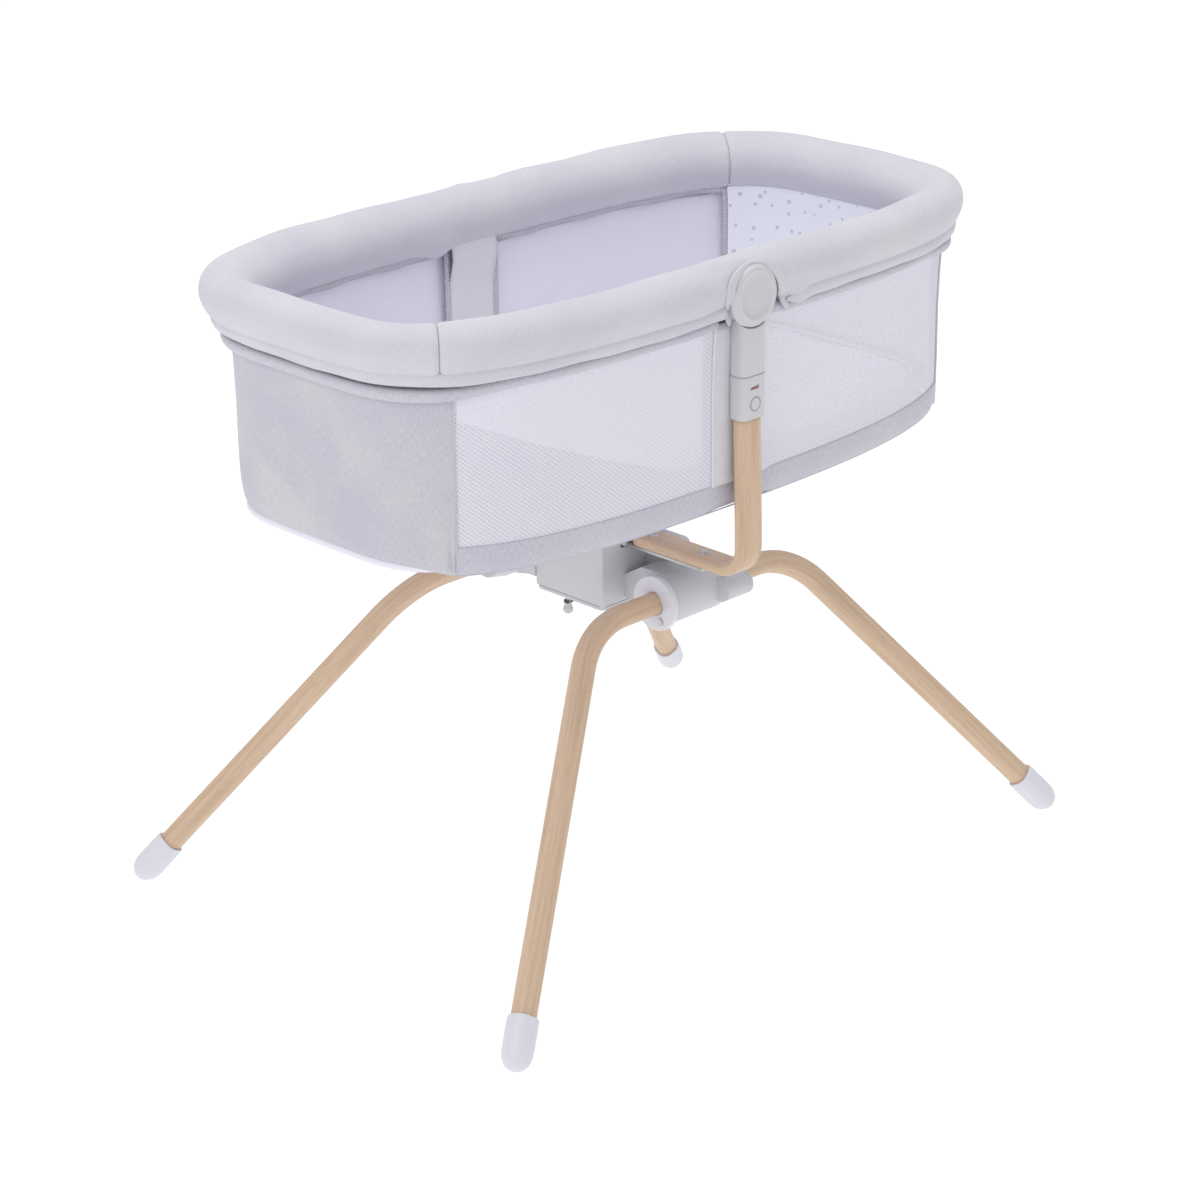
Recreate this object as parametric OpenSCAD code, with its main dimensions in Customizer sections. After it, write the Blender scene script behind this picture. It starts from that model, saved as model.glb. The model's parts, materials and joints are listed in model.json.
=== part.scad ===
// Bassinet on a folding bentwood stand, with a side-to-side glide and a lift-off basket.
// Millimetres, +Z up. X is the long axis of the basket, Y runs across it.
// The origin is on the floor, under the middle of the object.
// "near" parts are on the -Y side, "far" parts are the same parts turned half a turn about Z.

/* [Basket] */
// Half length of the rim, to the middle of the padded roll
rim_l = 430; // [380:1:460]
// Half width of the rim, to the middle of the padded roll
rim_w = 211; // [190:1:230]
// How square the ends of the rim are
rim_nx = 3.5; // [2.5:0.1:5]
// How square the sides of the rim are
rim_ny = 4.7; // [3:0.1:6]
// Height of the middle of the padded roll
rim_z = 740; // [700:1:760]
// Radius of the padded roll
roll_r = 32; // [24:1:36]
// Radius of the rim tube
tube_r = 11; // [8:0.5:14]
// How far the walls stand inside the line of the roll
wall_inset = 3; // [0:0.5:8]
// Thickness of the fabric walls
wall_t = 3; // [1:0.5:5]
// Height of the underside of the basket along its sides
basket_z = 487; // [470:1:495]
// Height of the underside of the basket at its ends
end_z = 503; // [500:1:510]
// Height of the fabric band under the mesh
band_h = 30; // [15:1:50]
// Distance from the middle to the seam of an end panel
seam_x = 396; // [340:1:405]
// Half width of the strip between the mesh panels
strip_x = 34; // [20:1:60]
// Thickness of the mattress
mattress_t = 26; // [20:1:50]

/* [Hubs and sockets] */
// Height of the middle of the hub disc
hub_z = 727; // [715:1:745]
// Radius of the hub disc
hub_r = 35; // [28:1:40]
// Distance from the middle plane to the middle of a post
post_y = 231; // [228:0.5:236]
// Distance from the middle plane to the face of the hub
hub_face = 234; // [231:0.5:240]
// Top of the socket on the post
socket_top = 639; // [620:1:660]
// Underside of the socket on the post
socket_bottom = 590; // [570:1:600]
// Radius of the release button
button_r = 7; // [5:0.5:9]
// Height of the release button
button_z = 607; // [600:1:615]
// How far the button can be pressed
button_travel = 3; // [2:0.5:4]

/* [Arms] */
// Width of the bentwood arm
arm_w = 36; // [30:1:38]
// Thickness of the bentwood arm
arm_t = 13; // [11:1:14]
// Underside of the arm below the basket
arm_z = 402; // [401:0.5:406]
// Radius of the arm's bend, at the middle of the wood
arm_bend_r = 30; // [24:1:60]
// Distance from the middle plane to the inner end of the arm
arm_end_y = 59; // [58:1:64]

/* [Legs] */
// Distance from the middle plane to a leg hinge
hinge_y = 121; // [118:1:124]
// Height of a leg hinge
hinge_z = 352; // [350:1:354]
// Distance from a foot to the middle plane, lengthwise
foot_x = 440; // [400:1:460]
// Distance from a foot to the middle plane, across
foot_y = 315; // [280:1:330]
// Width of the leg in the plane of its bend
leg_w = 26; // [23:1:28]
// Thickness of the leg
leg_t = 24; // [20:1:26]
// Radius of the leg's bend, at the middle of the wood
leg_bend_r = 100; // [80:1:110]
// Where the short side of the near legs bends, from the middle
left_corner = -137; // [-150:1:-125]
// Where the long side of the near legs bends, from the middle
right_corner = 186; // [170:1:200]
// Radius of a foot
foot_r = 18; // [17:0.5:20]

/* [Glider] */
// Length of the glider box
box_l = 104; // [100:1:110]
// Width of the glider box
box_w = 110; // [108:1:112]
// Underside of the glider box
box_bottom = 328; // [324:1:330]
// Top of the glider box
box_top = 440; // [430:1:450]
// Distance between the two pivots of a glide link
link_l = 50; // [46:1:51]
// Height of the upper pivots
link_top_z = 396; // [394:1:397]
// Distance from the middle plane to a link
link_y = 22; // [20:1:22]

/* [Hidden] */
$fn = 64;

wood = [0.87, 0.75, 0.60];
plastic = [0.84, 0.84, 0.85];
fabric = [0.82, 0.80, 0.83];
mesh_white = [0.90, 0.89, 0.93];
steel = [0.62, 0.63, 0.65];
white = [0.93, 0.93, 0.95];

// ---- The leg frames, worked out from the hinge and the feet ----
sole_z = 15;
drop = norm([foot_y - hinge_y, hinge_z - sole_z]);
splay = atan((foot_y - hinge_y) / (hinge_z - sole_z));
left_lean = atan(drop / (foot_x + left_corner));
right_lean = atan(drop / (foot_x - right_corner));
left_reach = norm([drop, foot_x + left_corner]);
right_reach = norm([drop, foot_x - right_corner]);
leg_corner_r = 9;
collar_out = -37;
collar_end = 72;
flange_t = 8;
flange_r = 32;
housing_end_r = 24;
barrel_r = 20;
barrel_l = 22;
web_t = 4;
axle_r = 8;
run_gap = 0.08;
flange_gap = 0.5;
cap_l = 60;

// ---- The arm and its socket ----
arm_mid_z = arm_z + arm_t / 2;
arm_corner_r = 5;
tenon_top = 598;
tenon_w = 27;
tenon_t = 6;
tongue_w = 29;
tongue_t = 6;
tongue_bottom = 603;
socket_w = arm_w + 2;
socket_t = arm_t + 11;
socket_corner_r = 8;
socket_y = post_y - 3.5;
strap_t = 3;
strap_w = 30;
strap_end = 175;
bolt_y = [85, 164];
bolt_r = 3;

// ---- The glider ----
box_wall = 3.5;
plate_t = 4;
link_t = 4;
link_end_r = 7.5;
link_low_z = link_top_z - link_l;
link_x = 31;
hanger_x = 26;
hanger_t = 3;
bracket_x = 37;
bracket_t = 4;
bracket_y = 31;
pin_r = 4;
slot_half = 21;

// ---- The basket ----
roll_top_gap = 40;
corner_x = 0.955;
wall_top = 706;
panel_gap = 0.3;
liner_x = 350;
liner_gap = 1.5;
liner_t = 2;
board_t = 7;

function side_y(x, inset) =
    (rim_w - inset) * pow(1 - pow(abs(x) / (rim_l - inset), rim_nx), 1 / rim_ny);
function end_x(y, inset) =
    (rim_l - inset) * pow(1 - pow(abs(y) / (rim_w - inset), rim_ny), 1 / rim_nx);
function turn_y(inset) = side_y(corner_x * (rim_l - inset), inset);

// Points along the +Y side from x0 to x1, both on the same half.
function side_run(x0, x1, inset, n) = [for (i = [0:n]) let (x = x0 + (x1 - x0) * i / n) [x, side_y(x, inset)]];
// Points round the +X end, from the +Y corner to the -Y corner.
function end_run(y0, inset, n) = [for (i = [0:n]) let (y = y0 * (1 - 2 * i / n)) [end_x(y, inset), y]];
function flip_y(points) = [for (i = [len(points) - 1:-1:0]) [points[i][0], -points[i][1]]];
// A run round the +X half from x0 on the +Y side to x0 on the -Y side.
function half_run(x0, inset, n_side, n_end) = let (
    xc = corner_x * (rim_l - inset),
    s = side_run(x0, xc, inset, n_side),
    e = end_run(turn_y(inset), inset, n_end),
    inner = [for (i = [1:n_end - 1]) e[i]]
) concat(s, inner, flip_y(s));

// Outline between an outer and an inner run of points.
module shell(outer, inner, z0, z1) {
    points = concat(outer, [for (i = [len(inner) - 1:-1:0]) inner[i]]);
    translate([0, 0, z0]) linear_extrude(z1 - z0) polygon(points);
}

// Whole outline of the basket at an inset.
module slab(inset, z0, z1) {
    half = half_run(0, inset, 10, 14);
    other = [for (i = [1:len(half) - 2]) let (p = half[len(half) - 1 - i]) [-p[0], p[1]]];
    translate([0, 0, z0]) linear_extrude(z1 - z0) polygon(concat(half, other));
}

// Sweep of a round section along a level run of points.
function run_dir(path, i) = let (
    a = path[max(i - 1, 0)],
    b = path[min(i + 1, len(path) - 1)]
) (b - a) / norm(b - a);
module sweep(path, z, r_side, r_up, sides) {
    n = len(path);
    rings = [
        for (i = [0:n - 1]) let (d = run_dir(path, i)) for (k = [0:sides - 1]) let (
            a = 360 * (k + 0.5) / sides,
            out = r_side * cos(a) / cos(180 / sides)
        ) [path[i][0] - d[1] * out, path[i][1] + d[0] * out, z + r_up * sin(a) / cos(180 / sides)]
    ];
    skin = [
        for (i = [0:n - 2]) for (k = [0:sides - 1]) let (
            a = i * sides + k,
            b = i * sides + (k + 1) % sides
        ) [a, b, b + sides, a + sides]
    ];
    first = [for (k = [sides - 1:-1:0]) k];
    last = [for (k = [0:sides - 1]) (n - 1) * sides + k];
    polyhedron(rings, concat([first], skin, [last]), convexity = 8);
}

module far() {
    rotate([0, 0, 180]) children();
}

module x_rod(x0, x1, y, z, r) {
    translate([x0, y, z]) rotate([0, 90, 0]) cylinder(h = x1 - x0, r = r);
}

module y_rod(y0, y1, x, z, r) {
    translate([x, y1, z]) rotate([90, 0, 0]) cylinder(h = y1 - y0, r = r);
}

module span(x0, x1, y0, y1, z0, z1) {
    translate([x0, y0, z0]) cube([x1 - x0, y1 - y0, z1 - z0]);
}

// Rectangle with round corners, as one outline with a fixed number of points in each corner.
corner_steps = 6;
module round_rect(w, h, r) {
    polygon([
        for (q = [0:3]) for (i = [0:corner_steps]) let (
            a = 90 * q + 90 * i / corner_steps,
            sx = q == 0 || q == 3 ? 1 : -1,
            sy = q < 2 ? 1 : -1
        ) [sx * (w / 2 - r) + r * cos(a), sy * (h / 2 - r) + r * sin(a)]
    ]);
}

module leg_section() {
    round_rect(leg_w, leg_t, leg_corner_r);
}

// ---- Glider box, fixed to the legs' hinges ----
module base_housing() {
    color(plastic) difference() {
        span(-box_l / 2, box_l / 2, -box_w / 2, box_w / 2, box_bottom + plate_t, box_top - plate_t);
        span(-box_l / 2 + box_wall, box_l / 2 - box_wall, -box_w / 2 + box_wall, box_w / 2 - box_wall,
            box_bottom, box_top);
        span(-slot_half, slot_half, -box_w, box_w, arm_z - 5, arm_z + arm_t + 5);
    }
}

module base_lid() {
    color(plastic) translate([0, 0, box_top - plate_t]) linear_extrude(plate_t)
        round_rect(box_l, box_w, 8);
}

module base_plate() {
    color(plastic) difference() {
        translate([0, 0, box_bottom]) linear_extrude(plate_t) round_rect(box_l, box_w, 8);
        translate([knob_x, knob_y, box_bottom - 1]) cylinder(h = plate_t + 2, r = stem_r + run_gap);
    }
}

module pivot_brackets() {
    color(steel) for (s = [-1, 1]) difference() {
        translate([s * (bracket_x + bracket_t / 2), 0, 0])
            span(-bracket_t / 2, bracket_t / 2, -bracket_y, bracket_y, box_bottom + plate_t, link_top_z + 8);
        for (t = [-1, 1]) x_rod(s * 50 - 20, s * 50 + 20, t * link_y, link_top_z, pin_r);
    }
}

module upper_pins() {
    inner = link_x - 1;
    outer = bracket_x + bracket_t;
    color(steel) for (t = [-1, 1]) {
        x_rod(inner, outer, t * link_y, link_top_z, pin_r);
        x_rod(-outer, -inner, t * link_y, link_top_z, pin_r);
    }
}

module base_screws() {
    color(steel) for (sx = [-1, 1], sy = [-1, 1]) translate([sx * 44, sy * 46, box_bottom - 1.5])
        cylinder(h = 1.5, r = 4);
}

// ---- Leg hinges ----
housing_x0 = collar_out + flange_t + flange_gap;
housing_x1 = collar_end - flange_gap;
housing_y = box_w / 2;
block_x0 = -17;
block_x1 = 34;
taper_x0 = 50;
housing_r = 28;
turret_x = 36.5;
turret_y = 92;
turret_z = 389;
turret_r = 17;
cap_y = 152;
cap_z = 354;
cap_r = 13;
cap_x0 = 40;
cap_x1 = 76;
cap_t = 6;

module near_hinge_housing() {
    top = hinge_z + housing_r;
    color(plastic) difference() {
        union() {
            x_rod(housing_x0, taper_x0, -hinge_y, hinge_z, housing_r);
            translate([taper_x0, -hinge_y, hinge_z]) rotate([0, 90, 0])
                cylinder(h = housing_x1 - taper_x0, r1 = housing_r, r2 = housing_end_r);
            translate([block_x0, 0, 0]) rotate([90, 0, 90]) linear_extrude(block_x1 - block_x0)
                polygon([[-housing_y, 337], [-housing_y, 364], [-82, top], [-hinge_y, top],
                    [-hinge_y, hinge_z - housing_r], [-hinge_y + 20, hinge_z - housing_r + 4]]);
            y_rod(-turret_y, -housing_y, turret_x, turret_z, turret_r);
            span(turret_x - turret_r, turret_x + turret_r, -turret_y, -housing_y, hinge_z - 10, turret_z);
            x_rod(cap_x0, cap_x1, -cap_y, cap_z, cap_r);
            span(cap_x0, housing_x1, -cap_y, -hinge_y, cap_z - cap_r, cap_z + cap_r - 4);
        }
        x_rod(housing_x0 - 1, housing_x1 + 1, -hinge_y, hinge_z, barrel_r + run_gap);
    }
}

module far_hinge_housing() {
    far() near_hinge_housing();
}

module near_cap() {
    x_rod(cap_x1, cap_x1 + cap_t, -cap_y, cap_z, cap_r);
}

module hinge_caps() {
    color(plastic) {
        near_cap();
        far() near_cap();
    }
}

module near_hinge_screws() {
    x_rod(cap_x1 + cap_t, cap_x1 + cap_t + 2, -cap_y, cap_z, 4);
    for (x = [0, 30]) y_rod(-housing_y + box_wall, -housing_y + box_wall + 3, x, 352, 5);
}

module hinge_screws() {
    color(steel) {
        near_hinge_screws();
        far() near_hinge_screws();
    }
}

// ---- Glide lock ----
knob_x = -45;
knob_y = 9;
knob_r = 6;
stem_r = 3;
knob_z = 312;

module lock_knob() {
    color(plastic) {
        translate([knob_x, knob_y, knob_z]) sphere(r = knob_r);
        translate([knob_x, knob_y, knob_z + 2]) cylinder(h = box_bottom + plate_t + 4 - knob_z, r = stem_r);
        translate([knob_x, knob_y, knob_z + 3]) cylinder(h = 5, r1 = knob_r - 1, r2 = knob_r - 2);
    }
}

module lock_lever() {
    color([0.15, 0.15, 0.16]) translate([knob_x, knob_y, 0]) difference() {
        span(-4, 9, -3, 3, 320, 324);
        translate([0, 0, 318]) cylinder(h = 8, r = stem_r + run_gap);
    }
}

// ---- Legs, drawn in a frame hung from the hinge line ----
module hang() {
    translate([0, -hinge_y, hinge_z]) rotate([-splay, 0, 0]) children();
}

// A leg that runs along +X, bends down by lean and ends the given reach past its corner.
module leg_bar(x0, corner, lean, reach) {
    t = leg_bend_r * tan(lean / 2);
    xb = corner - t;
    translate([x0, 0, 0]) rotate([0, 90, 0]) linear_extrude(xb - x0) leg_section();
    translate([xb, 0, -leg_bend_r]) rotate([90, 0, 0]) rotate([0, 0, 90 - lean])
        rotate_extrude(angle = lean) translate([leg_bend_r, 0]) leg_section();
    translate([xb + leg_bend_r * sin(lean), 0, -leg_bend_r * (1 - cos(lean))]) rotate([0, 90 + lean, 0])
        linear_extrude(reach - t - 12) leg_section();
}

// Frame of a foot: at the sole's centre, +Z pointing up the leg.
module foot_frame(corner, lean, reach) {
    translate([corner + reach * cos(lean), 0, -reach * sin(lean)]) rotate([0, lean - 90, 0]) children();
}

module foot_cap(corner, lean, reach) {
    foot_frame(corner, lean, reach) difference() {
        union() {
            sphere(r = foot_r - 1);
            cylinder(h = cap_l - foot_r, r1 = foot_r - 1, r2 = foot_r);
        }
        translate([0, 0, 12]) linear_extrude(cap_l) leg_section();
    }
}

module left() {
    mirror([1, 0, 0]) children();
}

module near_left_leg() {
    color(wood) hang() left() leg_bar(-collar_out - barrel_l - flange_t + web_t, -left_corner, left_lean, left_reach);
}

module near_right_leg() {
    color(wood) hang() leg_bar(collar_end - barrel_l - flange_t + web_t, right_corner, right_lean, right_reach);
}

module floor_cut() {
    intersection() {
        children();
        span(-600, 600, -600, 600, 0, 200);
    }
}

module near_left_foot() {
    color(white) floor_cut() hang() left() foot_cap(-left_corner, left_lean, left_reach);
}

module near_right_foot() {
    color(white) floor_cut() hang() foot_cap(right_corner, right_lean, right_reach);
}

module near_axle() {
    color(steel) x_rod(collar_out + flange_t + barrel_l - web_t, collar_end - flange_t - barrel_l + web_t,
        -hinge_y, hinge_z, axle_r);
}

module collar(x0, turned, r) {
    translate([x0, 0, 0]) mirror([turned, 0, 0]) difference() {
        union() {
            x_rod(0, flange_t, 0, 0, r);
            x_rod(0, flange_t + barrel_l, 0, 0, barrel_r);
        }
        translate([-1, 0, 0]) rotate([0, 90, 0]) linear_extrude(flange_t + barrel_l - web_t + 1) leg_section();
        x_rod(0, 60, 0, 0, axle_r + run_gap);
    }
}

module near_collars() {
    color(plastic) hang() {
        collar(collar_out, 0, flange_r);
        collar(collar_end, 1, barrel_r);
    }
}

module near_leg_screws() {
    color(steel) hang() {
        x_rod(collar_out - 2, collar_out, 0, -22, 4);
        x_rod(collar_end, collar_end + 1.5, 0, -16.8, 2.5);
    }
}

module far_axle() {
    far() near_axle();
}

module far_collars() {
    far() near_collars();
}

module far_left_leg() {
    far() near_right_leg();
}

module far_right_leg() {
    far() near_left_leg();
}

module far_left_foot() {
    far() near_right_foot();
}

module far_right_foot() {
    far() near_left_foot();
}

module far_leg_screws() {
    far() near_leg_screws();
}

// ---- Glide links ----
module link(x) {
    difference() {
        union() {
            span(x, x + link_t, -link_end_r, link_end_r, link_low_z, link_top_z);
            x_rod(x, x + link_t, 0, link_low_z, link_end_r);
            x_rod(x, x + link_t, 0, link_top_z, link_end_r);
        }
        x_rod(x - 1, x + link_t + 1, 0, link_top_z, pin_r + run_gap);
        x_rod(x - 1, x + link_t + 1, 0, link_low_z, pin_r);
    }
}

module near_links() {
    color(steel) translate([0, -link_y, 0]) {
        link(link_x);
        link(-link_x - link_t);
    }
}

module near_link_shaft() {
    color(steel) x_rod(-link_x - link_t, link_x + link_t, -link_y, link_low_z, pin_r);
}

module far_links() {
    far() near_links();
}

module far_link_shaft() {
    far() near_link_shaft();
}

// ---- Carriage and arms ----
module carriage_frame() {
    color(steel) difference() {
        union() {
            span(-hanger_x - hanger_t, hanger_x + hanger_t, -bracket_y + 1, bracket_y - 1, arm_z, arm_z + 3);
            for (x = [hanger_x, -hanger_x - hanger_t])
                span(x, x + hanger_t, -bracket_y + 1, bracket_y - 1, link_low_z - 8, arm_z);
        }
        x_rod(-50, 50, -link_y, link_low_z, pin_r + run_gap);
        x_rod(-50, 50, link_y, link_low_z, pin_r + 1);
    }
}

module arm_strap() {
    color(steel) difference() {
        span(-strap_w / 2, strap_w / 2, -strap_end, strap_end, arm_z - strap_t, arm_z);
        for (s = [-1, 1], y = bolt_y) translate([0, s * y, arm_z - 5]) cylinder(h = 8, r = bolt_r + run_gap);
    }
}

module near_arm() {
    bend_y = post_y - arm_bend_r;
    bend_z = arm_mid_z + arm_bend_r;
    color(wood) difference() {
        union() {
            translate([0, -post_y, bend_z]) linear_extrude(socket_bottom - bend_z)
                round_rect(arm_w, arm_t, arm_corner_r);
            translate([0, -socket_y, socket_bottom]) linear_extrude(tenon_top - socket_bottom)
                round_rect(tenon_w, tenon_t, 2);
            translate([0, -bend_y, bend_z]) rotate([180, 0, 0]) rotate([0, -90, 0]) rotate_extrude(angle = 90)
                translate([arm_bend_r, 0]) round_rect(arm_t, arm_w, arm_corner_r);
            translate([0, -arm_end_y - arm_w / 2, arm_mid_z]) rotate([90, 0, 0])
                linear_extrude(bend_y - arm_end_y - arm_w / 2) round_rect(arm_w, arm_t, arm_corner_r);
            translate([0, -arm_end_y - arm_w / 2, arm_z]) cylinder(h = arm_t, r = arm_w / 2);
        }
        for (y = bolt_y) translate([0, -y, arm_z - 5]) cylinder(h = arm_t + 10, r = bolt_r + run_gap);
    }
}

module far_arm() {
    far() near_arm();
}

module arm_bolts() {
    color(steel) for (s = [-1, 1], y = bolt_y) translate([0, s * y, arm_z - strap_t]) {
        cylinder(h = arm_t + strap_t, r = bolt_r);
        translate([0, 0, arm_t + strap_t]) cylinder(h = 2.5, r1 = 6, r2 = 4);
    }
}

module near_socket() {
    color(plastic) difference() {
        translate([0, -socket_y, socket_bottom]) linear_extrude(socket_top - socket_bottom)
            round_rect(socket_w, socket_t, socket_corner_r);
        translate([0, -socket_y, socket_bottom - 1]) linear_extrude(tenon_top - socket_bottom + 1)
            round_rect(tenon_w, tenon_t, 2);
        translate([0, -socket_y, tongue_bottom - 1]) linear_extrude(60)
            round_rect(tongue_w + 1, tongue_t + 1, 2.5);
        y_rod(-socket_y - socket_t, -socket_y, 0, button_z, button_r + run_gap);
        translate([0, -socket_y - socket_t / 2, indicator_z]) rotate([0, -12, 0])
            cube([11, 2, 3], center = true);
    }
}

indicator_z = 626;

module near_indicator() {
    translate([0, -socket_y - socket_t / 2 + 0.5, indicator_z]) rotate([0, -12, 0])
        cube([11, 1, 3], center = true);
}

module indicators() {
    color([0.85, 0.45, 0.15]) {
        near_indicator();
        far() near_indicator();
    }
}

module far_socket() {
    far() near_socket();
}

button_face = socket_y + socket_t / 2 + 1;
button_back = socket_y + tongue_t / 2 + button_travel + 0.5;

module near_button() {
    color(plastic) y_rod(-button_face, -button_back, 0, button_z, button_r);
}

module far_button() {
    far() near_button();
}

// ---- Basket frame ----
module near_hub_arm() {
    color(plastic) {
        difference() {
            translate([0, -socket_y, socket_top]) linear_extrude(hub_z - hub_body_r + 12 - socket_top)
                round_rect(socket_w, socket_t, socket_corner_r);
            y_rod(-hub_face, -hub_inner_y, 0, hub_z, hub_body_r + run_gap);
            y_rod(-hub_face - 20, -hub_face, 0, hub_z, hub_r + run_gap);
        }
        translate([0, -socket_y, tongue_bottom]) linear_extrude(socket_top - tongue_bottom)
            round_rect(tongue_w, tongue_t, 2);
    }
}

hub_inner_y = 199;
hub_body_r = 31;

module near_hub_housing() {
    color(plastic) difference() {
        y_rod(-hub_face, -hub_inner_y, 0, hub_z, hub_body_r);
        for (s = [-1, 1]) x_rod(s * 30 - 11, s * 30 + 11, -rim_w, rim_z, tube_r + 1.2);
    }
}

module near_hub_disc() {
    color(plastic) {
        y_rod(-hub_face - 3, -hub_face, 0, hub_z, hub_r);
        translate([0, -hub_face - 3, hub_z]) rotate([90, 0, 0]) rotate_extrude()
            translate([hub_r - 7, 0]) circle(r = 1.5);
    }
}

module far_hub_arm() {
    far() near_hub_arm();
}

module far_hub_housing() {
    far() near_hub_housing();
}

module far_hub_disc() {
    far() near_hub_disc();
}

module rim_pad_right() {
    color(fabric) sweep(half_run(roll_top_gap, 0, 9, 22), rim_z, roll_r, roll_r - 1, 14);
}

module rim_pad_left() {
    left() rim_pad_right();
}

module rim_tube_right() {
    color(steel) sweep(half_run(hub_body_r - 11, 0, 9, 22), rim_z, tube_r, tube_r, 8);
}

module rim_tube_left() {
    left() rim_tube_right();
}

// ---- Basket fabric ----
module wall_run(x0, inset, z0, z1) {
    shell(half_run(x0, inset, 3, 14), half_run(x0, inset + wall_t, 3, 14), z0, z1);
}

module end_panel_right() {
    color(fabric) wall_run(seam_x - 3, wall_inset, end_z, wall_top);
}

module end_panel_left() {
    left() end_panel_right();
}

module end_liner() {
    z0 = end_z + 4 + board_t + mattress_t;
    outer = wall_inset + wall_t + liner_gap;
    shell(half_run(liner_x, outer, 4, 14), half_run(liner_x, outer + liner_t, 4, 14), z0, wall_top - 2);
}

module end_liners() {
    color(white) {
        end_liner();
        left() end_liner();
    }
}

module mesh_panel() {
    x0 = strip_x + panel_gap;
    x1 = seam_x - 3 - panel_gap;
    shell(side_run(x0, x1, wall_inset, 12), side_run(x0, x1, wall_inset + wall_t, 12),
        basket_z + band_h + panel_gap, wall_top);
}

module far_mesh() {
    color(mesh_white) {
        mesh_panel();
        left() mesh_panel();
    }
}

module near_mesh() {
    far() far_mesh();
}

module far_side_trim() {
    x1 = seam_x - 3 - panel_gap;
    color(fabric) {
        shell(side_run(-x1, x1, wall_inset, 24), side_run(-x1, x1, wall_inset + wall_t, 24),
            basket_z, basket_z + band_h);
        shell(side_run(-strip_x, strip_x, wall_inset, 2), side_run(-strip_x, strip_x, wall_inset + wall_t, 2),
            basket_z + band_h, hub_z - hub_body_r - 1);
    }
}

module near_side_trim() {
    far() far_side_trim();
}

module basket_floor() {
    color(white) slab(wall_inset + wall_t + 0.5, end_z, end_z + 2);
}

module base_board() {
    color(wood) slab(wall_inset + wall_t + 4, end_z + 2, end_z + 2 + board_t);
}

module mattress() {
    color(white) slab(wall_inset + wall_t + 5, end_z + 2 + board_t, end_z + 2 + board_t + mattress_t);
}

base_housing();
base_lid();
base_plate();
pivot_brackets();
upper_pins();
base_screws();
near_hinge_housing();
far_hinge_housing();
hinge_caps();
hinge_screws();
lock_knob();
lock_lever();
near_axle();
near_collars();
near_left_leg();
near_right_leg();
near_left_foot();
near_right_foot();
near_leg_screws();
far_axle();
far_collars();
far_left_leg();
far_right_leg();
far_left_foot();
far_right_foot();
far_leg_screws();
near_links();
near_link_shaft();
far_links();
far_link_shaft();
carriage_frame();
arm_strap();
near_arm();
far_arm();
arm_bolts();
near_socket();
far_socket();
indicators();
near_button();
far_button();
near_hub_arm();
far_hub_arm();
near_hub_housing();
far_hub_housing();
near_hub_disc();
far_hub_disc();
rim_tube_left();
rim_tube_right();
rim_pad_left();
rim_pad_right();
end_panel_left();
end_panel_right();
end_liners();
near_mesh();
far_mesh();
near_side_trim();
far_side_trim();
base_board();
basket_floor();
mattress();
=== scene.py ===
"""Looks of a gliding bassinet on its folding stand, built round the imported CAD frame.

Every length is in metres, in the CAD's own frame: X along the basket, -Y towards the viewer, Z up.
Tables of outlines that are in millimetres say so. Far pieces are near ones turned half a turn about Z.
"""

import json
import math

import bmesh
import bpy
import numpy as np
from mathutils import Matrix, Vector


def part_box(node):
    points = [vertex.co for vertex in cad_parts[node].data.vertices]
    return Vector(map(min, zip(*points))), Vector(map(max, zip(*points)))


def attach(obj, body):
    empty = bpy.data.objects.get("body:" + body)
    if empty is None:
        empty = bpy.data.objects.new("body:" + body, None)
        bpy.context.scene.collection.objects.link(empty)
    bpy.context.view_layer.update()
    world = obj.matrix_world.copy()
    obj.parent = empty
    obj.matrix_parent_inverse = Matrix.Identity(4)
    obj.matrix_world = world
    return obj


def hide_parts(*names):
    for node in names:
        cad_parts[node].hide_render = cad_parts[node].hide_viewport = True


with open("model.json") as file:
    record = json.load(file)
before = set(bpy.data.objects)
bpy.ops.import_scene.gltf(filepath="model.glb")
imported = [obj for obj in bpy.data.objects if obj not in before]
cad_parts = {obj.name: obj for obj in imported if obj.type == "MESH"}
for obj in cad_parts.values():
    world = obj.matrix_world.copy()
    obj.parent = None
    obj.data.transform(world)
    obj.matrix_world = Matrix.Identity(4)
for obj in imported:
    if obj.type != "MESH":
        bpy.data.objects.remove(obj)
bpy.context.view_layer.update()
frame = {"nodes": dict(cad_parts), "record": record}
scene = bpy.context.scene

# ---- Measures, most of them taken from the frame ----
WALL_INSET = 0.003
RIM_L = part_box("end_panel_right")[1].x + WALL_INSET
RIM_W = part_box("far_side_trim")[1].y + WALL_INSET
RIM_NX = 3.5
RIM_NY = 4.7
RIM_Z = (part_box("rim_tube_left")[0].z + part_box("rim_tube_left")[1].z) / 2
HUB_Z = (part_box("near_hub_disc")[0].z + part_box("near_hub_disc")[1].z) / 2
# The finished face is a little smaller than the CAD's disc.
HUB_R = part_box("near_hub_disc")[1].x * 0.96
HUB_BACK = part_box("near_hub_disc")[1].y
STRIP_X = 0.034
STRIP_MID = -0.011
SEAM_X = 0.380
WALL_TOP = 0.702
# Flat heights of the cloth sheets, and the mesh's mean height between its curved edges.
END_HEIGHT = 0.205
MESH_HEIGHT = 0.18
MESH_MEAN_HEIGHT = 0.1725
STRIP_HEIGHT = 0.184
BAND_HEIGHT = 0.033
LINER_HEIGHT = 0.172
HINGE_Y = 0.121
HINGE_Z = 0.352
POST_Y = 0.231
SOCKET_Y = (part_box("near_socket")[0].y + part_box("near_socket")[1].y) / -2
SOCKET_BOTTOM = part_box("near_socket")[0].z
ARM_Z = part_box("near_arm")[0].z


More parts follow.
